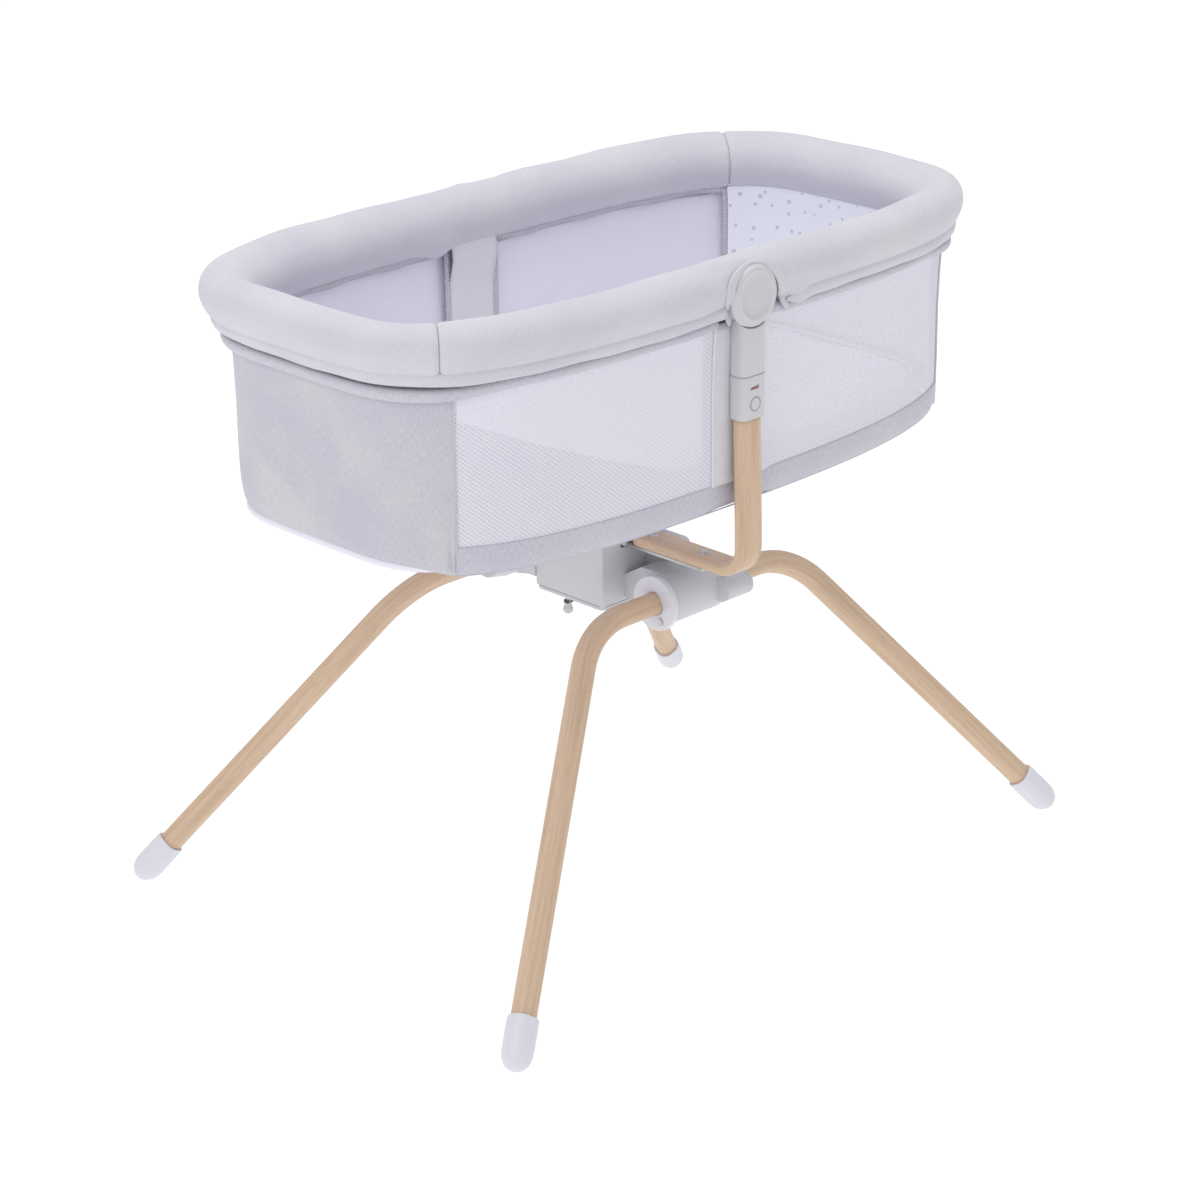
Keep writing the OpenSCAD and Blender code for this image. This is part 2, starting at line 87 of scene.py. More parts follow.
# ---- Curves ----
def resample(line, count, closed=False):
    """Evenly spaced points along a line; a closed one doesn't repeat its first point."""
    line = np.asarray(line, float)
    if closed:
        line = np.vstack([line, line[:1]])
    run = np.concatenate([[0], np.cumsum(np.linalg.norm(np.diff(line, axis=0), axis=1))])
    at = np.linspace(0, run[-1], count, endpoint=not closed)
    return np.stack([np.interp(at, run, line[:, i]) for i in range(line.shape[1])], axis=1)


def smooth_curve(points, count, closed=False):
    """Evenly spaced points on a smooth curve through the given points."""
    p = np.asarray(points, float)
    if closed:
        ext = np.vstack([p[-1:], p, p[:2]])
    else:
        ext = np.vstack([2 * p[:1] - p[1:2], p, 2 * p[-1:] - p[-2:-1]])
    t = np.linspace(0, 1, 17)[:-1, None]
    fine = []
    for i in range(1, len(ext) - 2):
        a, b, c, d = ext[i - 1 : i + 3]
        fine.append(
            0.5 * (2 * b + (c - a) * t + (2 * a - 5 * b + 4 * c - d) * t**2 + (3 * b - a - 3 * c + d) * t**3)
        )
    if not closed:
        fine.append(p[-1:])
    return resample(np.vstack(fine), count, closed)


def smooth_step(x, low, high):
    """0 below low, 1 above high, smooth between them."""
    t = np.clip((np.asarray(x, float) - low) / (high - low), 0, 1)
    return t * t * (3 - 2 * t)


def bump_at(s, centre, width):
    """A bell of height 1 at the centre."""
    return np.exp(-(((np.asarray(s, float) - centre) / width) ** 2))


# ---- The rim's outline, by the length s along it from the near middle towards -X ----
def rim_radius(angle):
    """Distance from the middle to the rim at an angle."""
    c, s = np.abs(np.cos(angle)), np.abs(np.sin(angle))
    low, high = np.zeros_like(angle), np.ones_like(angle)
    for _ in range(50):
        mid = (low + high) / 2
        outside = (mid * c / RIM_L) ** RIM_NX + (mid * s / RIM_W) ** RIM_NY > 1
        high = np.where(outside, mid, high)
        low = np.where(outside, low, mid)
    return low


RIM_ANGLE = -math.pi / 2 - np.linspace(0, 2 * math.pi, 6001)
RIM_POINTS = rim_radius(RIM_ANGLE)[:, None] * np.stack([np.cos(RIM_ANGLE), np.sin(RIM_ANGLE)], axis=1)
RIM_RUN = np.concatenate([[0], np.cumsum(np.linalg.norm(np.diff(RIM_POINTS, axis=0), axis=1))])
PERIMETER = RIM_RUN[-1]
HALF = PERIMETER / 2


def rim(s):
    """Points of the rim's outline and the outward normals there."""
    s = np.mod(s, PERIMETER)
    p = np.stack([np.interp(s, RIM_RUN, RIM_POINTS[:, i]) for i in (0, 1)], axis=1)
    slope_x = RIM_NX * np.abs(p[:, 0] / RIM_L) ** (RIM_NX - 1) * np.sign(p[:, 0]) / RIM_L
    slope_y = RIM_NY * np.abs(p[:, 1] / RIM_W) ** (RIM_NY - 1) * np.sign(p[:, 1]) / RIM_W
    n = np.stack([slope_x, slope_y], axis=1)
    return p, n / np.linalg.norm(n, axis=1)[:, None]


def rim_x(s):
    """X of the rim's point at s."""
    return rim(np.array([s]))[0][0, 0]


def near_s(x):
    """The length along the rim of the near side's point at x; it is below 0 right of the middle."""
    quarter = len(RIM_RUN) // 4 + 1
    return -np.sign(x) * np.interp(abs(x), -RIM_POINTS[:quarter, 0], RIM_RUN[:quarter])


def far_s(x):
    """The same for the far side."""
    return HALF - near_s(x)


SIDE_S = {"near": near_s, "far": far_s}


LEAN = (0.0032, -0.0032)
LEAN_LOW, LEAN_HIGH = 0.685, 0.735


def rim_grid(s, profile):
    """Points of a surface round the rim: profile(s) gives rows of (outward offset, height).

    What lies below the roll is shifted sideways as a whole by LEAN.
    """
    p, n = rim(s)
    rows = np.array([profile(v) for v in s]) if callable(profile) else np.tile(profile, (len(s), 1, 1))
    xy = p[:, None, :] + n[:, None, :] * rows[:, :, :1]
    grid = np.concatenate([xy, rows[:, :, 1:]], axis=2)
    hang = 1 - smooth_step(grid[:, :, 2], LEAN_LOW, LEAN_HIGH)
    grid[:, :, 0] += LEAN[0] * hang
    grid[:, :, 1] += LEAN[1] * hang
    return grid


# ---- Meshes ----
def mesh_piece(name, points, faces, uvs, material):
    """An object from points, faces and one UV a face corner."""
    mesh = bpy.data.meshes.new(name)
    mesh.from_pydata([tuple(p) for p in points], [], faces)
    layer = mesh.uv_layers.new(name="Metres")
    layer.data.foreach_set("uv", np.asarray(uvs, np.float32).ravel())
    shade_smooth(mesh)
    mesh.update()
    piece = bpy.data.objects.new(name, mesh)
    scene.collection.objects.link(piece)
    piece.data.materials.append(material)
    return piece


def mean_run(grid, axis, closed):
    """Mean length along one axis of a grid, one value a row, and one more where it closes."""
    steps = np.linalg.norm(np.diff(grid, axis=axis), axis=2).mean(axis=1 - axis)
    run = np.concatenate([[0], np.cumsum(steps)])
    if closed:
        ends = (grid[0] - grid[-1]) if axis == 0 else (grid[:, 0] - grid[:, -1])
        run = np.append(run, run[-1] + np.linalg.norm(ends, axis=1).mean())
    return run


def grid_piece(name, grid, material, closed_u=False, closed_v=False, caps=False):
    """A surface through a grid of points, with UVs in metres; caps close the ends of a tube."""
    n, k = grid.shape[:2]
    u, v = mean_run(grid, 0, closed_u), mean_run(grid, 1, closed_v)
    faces, uvs = [], []
    for i in range(n if closed_u else n - 1):
        for j in range(k if closed_v else k - 1):
            a, b = (i + 1) % n, (j + 1) % k
            faces.append((i * k + j, a * k + j, a * k + b, i * k + b))
            uvs += [(u[i], v[j]), (u[i + 1], v[j]), (u[i + 1], v[j + 1]), (u[i], v[j + 1])]
    if caps:
        faces.append(tuple(range(k)))
        faces.append(tuple((n - 1) * k + j for j in reversed(range(k))))
        uvs += [(u[0], v[j]) for j in range(k)] + [(u[-1], v[j]) for j in reversed(range(k))]
    return outward(mesh_piece(name, grid.reshape(-1, 3), faces, uvs, material))


def outward(piece, merge=0.0):
    """Turns the faces of a piece the same way, outward where it is closed, once close points are merged."""
    bm = bmesh.new()
    bm.from_mesh(piece.data)
    if merge:
        bmesh.ops.remove_doubles(bm, verts=bm.verts, dist=merge)
    bmesh.ops.recalc_face_normals(bm, faces=bm.faces)
    bm.to_mesh(piece.data)
    bm.free()
    return piece


def shade_smooth(mesh):
    """Shades all faces of a mesh smooth."""
    mesh.polygons.foreach_set("use_smooth", [True] * len(mesh.polygons))


def apply_modifiers(piece):
    """Makes the piece's mesh what its modifiers show."""
    shown = piece.evaluated_get(bpy.context.evaluated_depsgraph_get())
    mesh = bpy.data.meshes.new_from_object(shown)
    piece.modifiers.clear()
    piece.data = mesh
    return piece


def thicken(piece, thickness):
    """Gives a sheet its cloth thickness, half on each side."""
    solid = piece.modifiers.new("Thickness", "SOLIDIFY")
    solid.thickness = thickness
    solid.offset = 0.0
    return apply_modifiers(piece)


def subdivide(piece):
    """Smooths a piece by one level of subdivision."""
    more = piece.modifiers.new("Smooth", "SUBSURF")
    more.levels = 1
    more.render_levels = 1
    return apply_modifiers(piece)


def tube(name, path, radius, material, closed=False, sides=10):
    """A round cord, such as piping, along a path."""
    path = np.asarray(path, float)
    if closed:
        along = np.roll(path, -1, axis=0) - np.roll(path, 1, axis=0)
    else:
        along = np.gradient(path, axis=0)
    along /= np.linalg.norm(along, axis=1)[:, None]
    up = np.array([0.0, 0.0, 1.0])
    if np.abs(along @ up).max() > 0.95:
        up = np.array([0.0, 1.0, 0.0])
    side = np.cross(along, up)
    side /= np.linalg.norm(side, axis=1)[:, None]
    top = np.cross(side, along)
    turn = np.linspace(0, 2 * math.pi, sides, endpoint=False)
    ring = np.cos(turn)[None, :, None] * side[:, None, :] + np.sin(turn)[None, :, None] * top[:, None, :]
    grid = path[:, None, :] + radius * ring
    return grid_piece(name, grid, material, closed_u=closed, closed_v=True, caps=not closed)


def turned(name, profile, centre, axis, material):
    """A lathed piece: profile rows are (radius, height along the axis)."""
    turn = np.linspace(0, 2 * math.pi, 72, endpoint=False)[:, None]
    radius, height = np.asarray(profile, float).T
    local = np.stack([np.cos(turn) * radius, np.sin(turn) * radius, height + 0 * turn], axis=2)
    turn_to = np.array(Vector(axis).to_track_quat("Z", "Y").to_matrix())
    grid = local @ turn_to.T + np.array(centre)
    return outward(grid_piece(name, grid, material, closed_u=True), merge=1e-6)


def rounded_section(width, height, radius, steps=5):
    """Outline of a rectangle with round corners, anticlockwise from +X +Y."""
    points = []
    for quarter, (sx, sy) in enumerate([(1, 1), (-1, 1), (-1, -1), (1, -1)]):
        for i in range(steps + 1):
            a = math.pi / 2 * (quarter + i / steps)
            x = sx * (width / 2 - radius) + radius * math.cos(a)
            points.append((x, sy * (height / 2 - radius) + radius * math.sin(a)))
    return np.array(points)


def bar(name, path, cross, section, material, scale=None):
    """A bar along a path in one plane: the section's X is across the plane, its Y in the plane."""
    path = np.asarray(path, float)
    along = np.gradient(path, axis=0)
    along /= np.linalg.norm(along, axis=1)[:, None]
    cross = np.asarray(cross, float)
    inside = np.cross(cross[None, :], along)
    if scale is None:
        scale = np.ones((len(path), 2))
    grid = path[:, None, :] + (
        cross[None, None, :] * (section[None, :, :1] * scale[:, None, :1])
        + inside[:, None, :] * (section[None, :, 1:] * scale[:, None, 1:])
    )
    return grid_piece(name, grid, material, closed_v=True, caps=True)


def softened(node, name, width, material, segments=3):
    """A copy of a CAD node with its sharp edges rounded."""
    bm = bmesh.new()
    bm.from_mesh(frame["nodes"][node].data)
    bmesh.ops.remove_doubles(bm, verts=bm.verts, dist=2e-6)
    bmesh.ops.dissolve_limit(bm, angle_limit=math.radians(1), verts=bm.verts, edges=bm.edges)
    sharp = [e for e in bm.edges if e.is_manifold and e.calc_face_angle(0) > math.radians(32)]
    bmesh.ops.bevel(
        bm, geom=sharp, offset=width, segments=segments, profile=0.5, affect="EDGES", clamp_overlap=True
    )
    for e in bm.edges:
        e.smooth = not e.is_manifold or e.calc_face_angle(0) < math.radians(40)
    mesh = bpy.data.meshes.new(name)
    bm.to_mesh(mesh)
    bm.free()
    shade_smooth(mesh)
    piece = bpy.data.objects.new(name, mesh)
    scene.collection.objects.link(piece)
    piece.data.materials.append(material)
    return piece


def far_copy(piece, name):
    """The same piece on the far side: turned half a turn about the vertical."""
    mesh = piece.data.copy()
    mesh.transform(Matrix.Rotation(math.pi, 4, "Z"))
    copy = bpy.data.objects.new(name, mesh)
    scene.collection.objects.link(copy)
    return copy


def settle(piece, body, slot_name, *nodes):
    """Gives a piece its body and hides the CAD nodes that it stands for; slot_name is not used."""
    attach(piece, body)
    if nodes:
        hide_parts(*nodes)


def pair_up(piece, far_name, body, slot_name, near_node=None, far_node=None):
    """Makes the far twin of a near piece, and settles both."""
    for one, node in ((piece, near_node), (far_copy(piece, far_name), far_node)):
        settle(one, body, slot_name, *([node] if node else []))


# ---- Material helpers ----
def new_material(name, roughness, **settings):
    """A material and its tree and shader, with constants set straight on the shader."""
    material = bpy.data.materials.new(name)
    material.use_nodes = True
    tree = material.node_tree
    shader = tree.nodes["Principled BSDF"]
    shader.inputs["Roughness"].default_value = roughness
    for key, value in settings.items():
        shader.inputs[key.replace("_", " ")].default_value = value
    return material, tree, shader


def add(tree, kind, inputs=None, **settings):
    """A node with its settings; an input is a value or another node's output."""
    node = tree.nodes.new(kind)
    for key, value in settings.items():
        setattr(node, key, value)
    for key, value in (inputs or {}).items():
        if isinstance(value, bpy.types.NodeSocket):
            tree.links.new(value, node.inputs[key])
        else:
            node.inputs[key].default_value = value
    return node


def place(tree, source, scale=(1, 1, 1)):
    """UV or Object coordinates, scaled along each axis."""
    coordinate = add(tree, "ShaderNodeTexCoord")
    mapping = add(tree, "ShaderNodeMapping", {"Vector": coordinate.outputs[source], "Scale": scale})
    return mapping.outputs["Vector"]


def noise(tree, vector, scale, detail=2.0, roughness=0.5):
    """Noise from 0 to 1."""
    inputs = {"Vector": vector, "Scale": scale, "Detail": detail, "Roughness": roughness}
    return add(tree, "ShaderNodeTexNoise", inputs).outputs["Fac"]


def ramp(tree, value, stops):
    """A colour ramp; stops are (position, colour), and a number for a colour is a grey."""
    made = add(tree, "ShaderNodeValToRGB", {"Fac": value})
    band = made.color_ramp
    while len(band.elements) < len(stops):
        band.elements.new(0.5)
    for element, (position, colour) in zip(band.elements, stops):
        element.position = position
        element.color = (*(colour if isinstance(colour, tuple) else grey(colour)), 1)
    return made.outputs["Color"]


def grey(value):
    """A grey colour."""
    return (value, value, value)


def blend(tree, factor, a, b, kind="MIX"):
    """A mix of two colours."""
    made = add(tree, "ShaderNodeMix", data_type="RGBA", blend_type=kind)
    for socket, value in ((made.inputs[0], factor), (made.inputs[6], a), (made.inputs[7], b)):
        if isinstance(value, bpy.types.NodeSocket):
            tree.links.new(value, socket)
        elif isinstance(value, tuple):
            socket.default_value = (*value, 1)
        else:
            socket.default_value = value
    return made.outputs[2]


def calc(tree, operation, a, b=0.5, c=None):
    """One step of arithmetic."""
    made = add(tree, "ShaderNodeMath", operation=operation)
    for i, value in enumerate((a, b) if c is None else (a, b, c)):
        if isinstance(value, bpy.types.NodeSocket):
            tree.links.new(value, made.inputs[i])
        else:
            made.inputs[i].default_value = value
    return made.outputs[0]


def raise_surface(tree, shader, height, strength, distance):
    """Bump on the shader from a height."""
    made = add(tree, "ShaderNodeBump", {"Height": height, "Strength": strength, "Distance": distance})
    tree.links.new(made.outputs["Normal"], shader.inputs["Normal"])


def waves(tree, vector, period, direction="X", distortion=0.0):
    """Bands of the given period in metres, from 0 to 1."""
    inputs = {"Vector": vector, "Scale": math.pi / 10 / period, "Distortion": distortion, "Detail": 1.0}
    return add(tree, "ShaderNodeTexWave", inputs, bands_direction=direction).outputs["Fac"]


# ---- Materials ----
def cloth(name, shade, tint, thread, strength=0.3, heather=0.35, source="UV"):
    """Woven or knitted cloth: threads, fibres of two shades, wide soft patches of a second tint, and a
    painted highlight on the weave's raised crossings.
    """
    sheen = {"Sheen_Weight": 0.25, "Sheen_Roughness": 0.6, "Specular_IOR_Level": 0.25}
    material, tree, shader = new_material(name, 0.88, **sheen)
    flat = place(tree, source)
    warp = waves(tree, flat, thread, "X", 0.6)
    weft = waves(tree, flat, thread, "Y", 0.6)
    weave = calc(tree, "MULTIPLY", warp, weft)
    fibres = noise(tree, place(tree, source, (900, 160, 900)), 1.0, 3.0, 0.7)
    patches = noise(tree, flat, 9.0, 2.0, 0.5)
    base = blend(tree, ramp(tree, patches, [(0.35, 0), (0.65, 1)]), shade, tint)
    dark = blend(tree, 1.0, base, tuple(1 - heather * f for f in (0.42, 0.42, 0.36)), "MULTIPLY")
    speckled = blend(tree, ramp(tree, fibres, [(0.36, 1), (0.62, 0)]), base, dark)
    # Painted highlight: the raised crossings of the weave are blended a tenth of the way towards white.
    weave_highlighted = blend(tree, calc(tree, "MULTIPLY", weave, 0.10), speckled, (1.0, 1.0, 1.0))
    tree.links.new(weave_highlighted, shader.inputs["Base Color"])
    height = calc(tree, "ADD", calc(tree, "MULTIPLY", weave, 0.7), calc(tree, "MULTIPLY", fibres, 0.3))
    raise_surface(tree, shader, height, strength, thread * 0.5)
    return material


def paint_seam_shade(material, seams, half_width):
    """Paints shade on a cloth in its seam grooves, given by their place along U."""
    tree = material.node_tree
    shader = tree.nodes["Principled BSDF"]
    plain = shader.inputs["Base Color"].links[0].from_socket
    along = add(tree, "ShaderNodeSeparateXYZ", {"Vector": place(tree, "UV")}).outputs["X"]
    in_seam_groove = 0.0
    for seam in seams:
        away = calc(tree, "ABSOLUTE", calc(tree, "SUBTRACT", along, seam))
        in_seam_groove = calc(tree, "ADD", calc(tree, "LESS_THAN", away, half_width), in_seam_groove)
    # Painted shade: the cloth is darkened to about half in the seam grooves.
    dark = blend(tree, 1.0, plain, grey(0.52), "MULTIPLY")
    tree.links.new(blend(tree, in_seam_groove, plain, dark), shader.inputs["Base Color"])


def mesh_cloth(name, shade, tint, hole):
    """Open knitted mesh: rows of small holes that run diagonally, between threads with a painted highlight.
    """
    material, tree, shader = new_material(name, 0.75, Sheen_Weight=0.15, Specular_IOR_Level=0.3)
    upright = add(tree, "ShaderNodeTexCoord").outputs["UV"]
    slant = {"Vector": upright, "Rotation": (0, 0, math.radians(38))}
    turned_uv = add(tree, "ShaderNodeMapping", slant).outputs["Vector"]
    rows = waves(tree, turned_uv, 0.0028, "X")
    holes = waves(tree, turned_uv, 0.0040, "Y")
    open_part = calc(tree, "MULTIPLY", rows, calc(tree, "MULTIPLY_ADD", holes, 0.55, 0.45))
    cover = ramp(tree, open_part, [(0.36, 1), (0.72, hole)])
    tree.links.new(cover, shader.inputs["Alpha"])
    patches = noise(tree, place(tree, "UV"), 7.0)
    body = blend(tree, patches, shade, tint)
    # Painted highlight: the threads between the holes are blended towards a pale tint.
    threads = ramp(tree, open_part, [(0.10, 0.45), (0.45, 0)])
    tree.links.new(blend(tree, threads, body, (0.86, 0.85, 0.91)), shader.inputs["Base Color"])
    raise_surface(tree, shader, open_part, 0.9 - 0.75 * hole, 0.0008)
    return material


def dotted_cloth(name, source):
    """Smooth printed cotton with small soft dots, scattered and of mixed sizes."""
    material, tree, shader = new_material(name, 0.8, Sheen_Weight=0.15, Specular_IOR_Level=0.3)
    flat = place(tree, source, (1, 1, 1) if source == "UV" else (1, 1, 0))
    spread = {"Vector": flat, "Scale": 44.0, "Randomness": 0.8}
    cells = add(tree, "ShaderNodeTexVoronoi", spread, voronoi_dimensions="2D")
    size = calc(tree, "MULTIPLY_ADD", cells.outputs["Color"], 0.085, 0.07)
    inside = calc(tree, "SUBTRACT", size, cells.outputs["Distance"])
    dot = ramp(tree, calc(tree, "MULTIPLY_ADD", inside, 14.0, 0.35), [(0.2, 0), (0.8, 1)])
    faded = calc(tree, "MULTIPLY", dot, calc(tree, "MULTIPLY_ADD", noise(tree, flat, 60.0), 0.9, 0.1))
    patches = noise(tree, flat, 8.0)
    base = blend(tree, patches, (0.90, 0.91, 0.99), (0.93, 0.94, 1.0))
    tree.links.new(blend(tree, faded, base, (0.42, 0.42, 0.55)), shader.inputs["Base Color"])
    weave = calc(tree, "MULTIPLY", waves(tree, flat, 0.0007, "X"), waves(tree, flat, 0.0007, "Y"))
    raise_surface(tree, shader, weave, 0.2, 0.0003)
    return material


def binding_cloth():
    """Overlock binding: close zigzag stitches across a narrow tape."""
    material, tree, shader = new_material("overlock_binding", 0.85, Sheen_Weight=0.2)
    flat = place(tree, "UV")
    stitches = waves(tree, flat, 0.0024, "X", 1.5)
    ribs = waves(tree, flat, 0.0031, "Y")
    pattern = calc(tree, "MULTIPLY_ADD", ribs, 0.35, calc(tree, "MULTIPLY", stitches, 0.65))
    colour = ramp(tree, pattern, [(0.25, (0.44, 0.42, 0.49)), (0.7, (0.80, 0.78, 0.85))])
    tree.links.new(colour, shader.inputs["Base Color"])
    raise_surface(tree, shader, pattern, 0.8, 0.0012)
    return material


def wood(name):
    """Bent beech under a clear matt lacquer: fine grain along the bar, short pores and wide soft bands."""
    material, tree, shader = new_material(name, 0.46, Coat_Weight=0.12, Coat_Roughness=0.3)
    grain = noise(tree, place(tree, "UV", (7, 210, 1)), 1.0, 6.0, 0.62)
    pores = noise(tree, place(tree, "UV", (70, 1500, 1)), 1.0, 2.0, 0.6)
    bands = noise(tree, place(tree, "UV", (2.2, 34, 1)), 1.0, 2.0, 0.5)
    browns = [(0.30, (0.48, 0.330, 0.215)), (0.50, (0.60, 0.430, 0.290)), (0.72, (0.69, 0.515, 0.365))]
    base = ramp(tree, grain, browns)
    banded = blend(tree, calc(tree, "MULTIPLY", bands, 0.45), base, (0.68, 0.50, 0.375))
    pored = blend(tree, ramp(tree, pores, [(0.30, 0.5), (0.42, 0)]), banded, (0.36, 0.23, 0.13))
    tree.links.new(pored, shader.inputs["Base Color"])
    rough = ramp(tree, grain, [(0.3, 0.54), (0.7, 0.40)])
    tree.links.new(rough, shader.inputs["Roughness"])
    raise_surface(tree, shader, calc(tree, "MULTIPLY_ADD", pores, 0.4, grain), 0.12, 0.0006)
    return material


def plastic(name, colour, roughness, grain=2600.0, strength=0.06):
    """Moulded plastic with a fine spark texture and a faint unevenness of tone and gloss."""
    material, tree, shader = new_material(name, roughness)
    solid = place(tree, "Object")
    cloud = noise(tree, solid, 22.0, 3.0, 0.5)
    spark = noise(tree, solid, grain, 1.0, 0.5)
    darker = tuple(c * 0.94 for c in colour)
    tree.links.new(blend(tree, cloud, darker, colour), shader.inputs["Base Color"])
    gloss = ramp(tree, cloud, [(0.3, roughness + 0.07), (0.7, roughness - 0.05)])
    tree.links.new(gloss, shader.inputs["Roughness"])
    raise_surface(tree, shader, spark, strength, 0.0004)
    return material


def metal(name, colour, roughness):
    """Brushed or zinc-plated steel."""
    material, tree, shader = new_material(name, roughness, Metallic=1.0)
    brushed = noise(tree, place(tree, "Object", (60, 900, 900)), 1.0, 3.0, 0.6)
    darker = tuple(c * 0.8 for c in colour)
    tree.links.new(blend(tree, brushed, darker, colour), shader.inputs["Base Color"])
    gloss = ramp(tree, brushed, [(0.3, roughness + 0.12), (0.7, roughness - 0.06)])
    tree.links.new(gloss, shader.inputs["Roughness"])
    raise_surface(tree, shader, brushed, 0.1, 0.0002)
    return material


ROLL_LOOK = ((0.595, 0.585, 0.660), (0.645, 0.630, 0.685), 0.0011, 0.22, 0.22)
ROLL = cloth("rim_fabric", *ROLL_LOOK)
HEATHER = cloth("heather_fabric", (0.545, 0.535, 0.630), (0.62, 0.612, 0.640), 0.0010, 0.35, 0.42)
BAND = cloth("band_fabric", (0.575, 0.565, 0.655), (0.62, 0.61, 0.67), 0.0010, 0.35, 0.5)
STRIP = cloth("strip_fabric", (0.70, 0.675, 0.735), (0.74, 0.715, 0.76), 0.0010, 0.3, 0.25)
# A lighter copy of the strip's cloth for its inner layer: painted light, to make up for the roll's shade
# over it.
INNER_STRIP = cloth("inner_strip_fabric", (0.80, 0.755, 0.82), (0.84, 0.80, 0.85), 0.0010, 0.3, 0.25)
PIPING = cloth("piping_fabric", (0.72, 0.71, 0.77), (0.76, 0.75, 0.79), 0.0008, 0.25, 0.15)
WHITE_CLOTH = cloth("floor_fabric", (0.80, 0.79, 0.90), (0.84, 0.83, 0.91), 0.0009, 0.2, 0.12)
MESH = mesh_cloth("mesh_fabric", (0.69, 0.67, 0.78), (0.75, 0.73, 0.82), 0.72)
# A lighter copy of the mesh cloth for the far walls: painted light, to make up for the shade inside the
# basket.
FAR_MESH = mesh_cloth("far_mesh_fabric", (0.85, 0.82, 0.95), (0.88, 0.85, 0.97), 0.95)
DOTTED = dotted_cloth("dotted_liner", "UV")
COVER = dotted_cloth("mattress_cover", "Object")
BINDING = binding_cloth()
BEECH = wood("bentwood")
GREY = plastic("grey_plastic", (0.60, 0.61, 0.635), 0.42)
WHITE = plastic("foot_plastic", (0.72, 0.72, 0.79), 0.38, 1800.0, 0.08)
BLACK = plastic("black_plastic", (0.035, 0.035, 0.04), 0.45)
ORANGE = plastic("indicator", (0.26, 0.10, 0.085), 0.4)
# A dark grey for thin cords laid in grooves and joints: painted shade.
GROOVE_SHADE = plastic("painted_groove_shade", (0.36, 0.36, 0.39), 0.6)
STEEL = metal("steel", (0.60, 0.60, 0.62), 0.32)
BOARD = cloth("board", (0.70, 0.69, 0.73), (0.74, 0.73, 0.76), 0.004, 0.1, 0.2, "Object")


# ---- Camera, light and floor ----
def make_camera():
    """The viewpoint: turned and tilted, with a slight roll."""
    azimuth, tilt, roll = (math.radians(v) for v in (45.4901, 21.9057, -0.5671))
    forward = Vector(
        (math.cos(azimuth) * math.cos(tilt), math.sin(azimuth) * math.cos(tilt), -math.sin(tilt))
    )
    right = Vector((math.sin(azimuth), -math.cos(azimuth), 0))
    up = right.cross(forward)
    across = right * math.cos(roll) + up * math.sin(roll)
    upright = up * math.cos(roll) - right * math.sin(roll)
    eye = (-2.4305, -2.4701, 1.7056)
    data = bpy.data.cameras.new("Camera")
    data.sensor_width = 36.0
    data.lens = 96.47
    data.clip_start = 0.1
    data.clip_end = 50.0
    camera = bpy.data.objects.new("Camera", data)
    camera.matrix_world = Matrix(
        (
            (across.x, upright.x, -forward.x, eye[0]),
            (across.y, upright.y, -forward.y, eye[1]),
            (across.z, upright.z, -forward.z, eye[2]),
            (0, 0, 0, 1),
        )
    )
    scene.collection.objects.link(camera)
    scene.camera = camera


def area_light(name, place_at, aim, size, power):
    """A soft square light that points at a place."""
    data = bpy.data.lights.new(name, "AREA")
    data.size = size
    data.energy = power
    light = bpy.data.objects.new(name, data)
    light.location = place_at
    light.rotation_mode = "QUATERNION"
    light.rotation_quaternion = (Vector(aim) - Vector(place_at)).to_track_quat("-Z", "Y")
    scene.collection.objects.link(light)


def make_studio():
    """A white room light, two soft boxes and a pale floor that gives back a little shadow."""
    world = bpy.data.worlds.new("Studio")
    scene.world = world
    world.use_nodes = True
    background = world.node_tree.nodes["Background"]
    background.inputs["Color"].default_value = (1, 1, 1, 1)
    background.inputs["Strength"].default_value = 0.71
    area_light("Key", (-2.6, -0.5, 2.3), (0, 0, 0.5), size=1.6, power=16)
    area_light("Top", (0.2, 0.0, 3.0), (0, 0, 0.6), size=1.5, power=21)
    mesh = bpy.data.meshes.new("Floor")
    reach = 25
    corners = [(-reach, -reach, 0), (reach, -reach, 0), (reach, reach, 0), (-reach, reach, 0)]
    mesh.from_pydata(corners, [], [(0, 1, 2, 3)])
    floor = bpy.data.objects.new("Floor", mesh)
    scene.collection.objects.link(floor)
    white = (1, 1, 1, 1)
    material, tree, shader = new_material("floor", 0.9, Emission_Color=white, Emission_Strength=0.90)
    pale = noise(tree, place(tree, "Object"), 3.0)
    tree.links.new(blend(tree, pale, grey(0.20), grey(0.22)), shader.inputs["Base Color"])
    floor.data.materials.append(material)


make_camera()
make_studio()
scene.view_settings.view_transform = "Standard"


# ---- Padded rim ----
# In millimetres: (outward, above the rim's middle).
ROLL_PROFILE = [
    (20, -22), (25, -16), (29, -8), (31.5, 1), (31, 10), (28.5, 18), (23, 24.5), (16, 28.5),
    (8, 29.5), (0, 28), (-9, 24.5), (-17, 19), (-24, 12), (-28, 3), (-29.5, -6), (-27.5, -15),
    (-23, -23), (-17, -30), (-12, -35), (-8, -36), (0, -33), (8, -29), (15, -25),
]
ROLL_LOOP = smooth_curve(np.array(ROLL_PROFILE) / 1000, 48, closed=True)
ROLL_SEAMS = (near_s(-0.3885), far_s(0.3835))
# The roll's cloth, with painted shade in its two seam grooves.
SEAM_SHADED_ROLL = cloth("seam_shaded_rim_fabric", *ROLL_LOOK)
paint_seam_shade(SEAM_SHADED_ROLL, ROLL_SEAMS, 0.0006)
ROLL_FOLDS = ((-0.27, 0.018), (-0.12, 0.014), (0.10, 0.020), (0.31, 0.012))
OPENING_DEPTHS = (0.209, 0.262)
HEM_PLANE_Y = 0.236
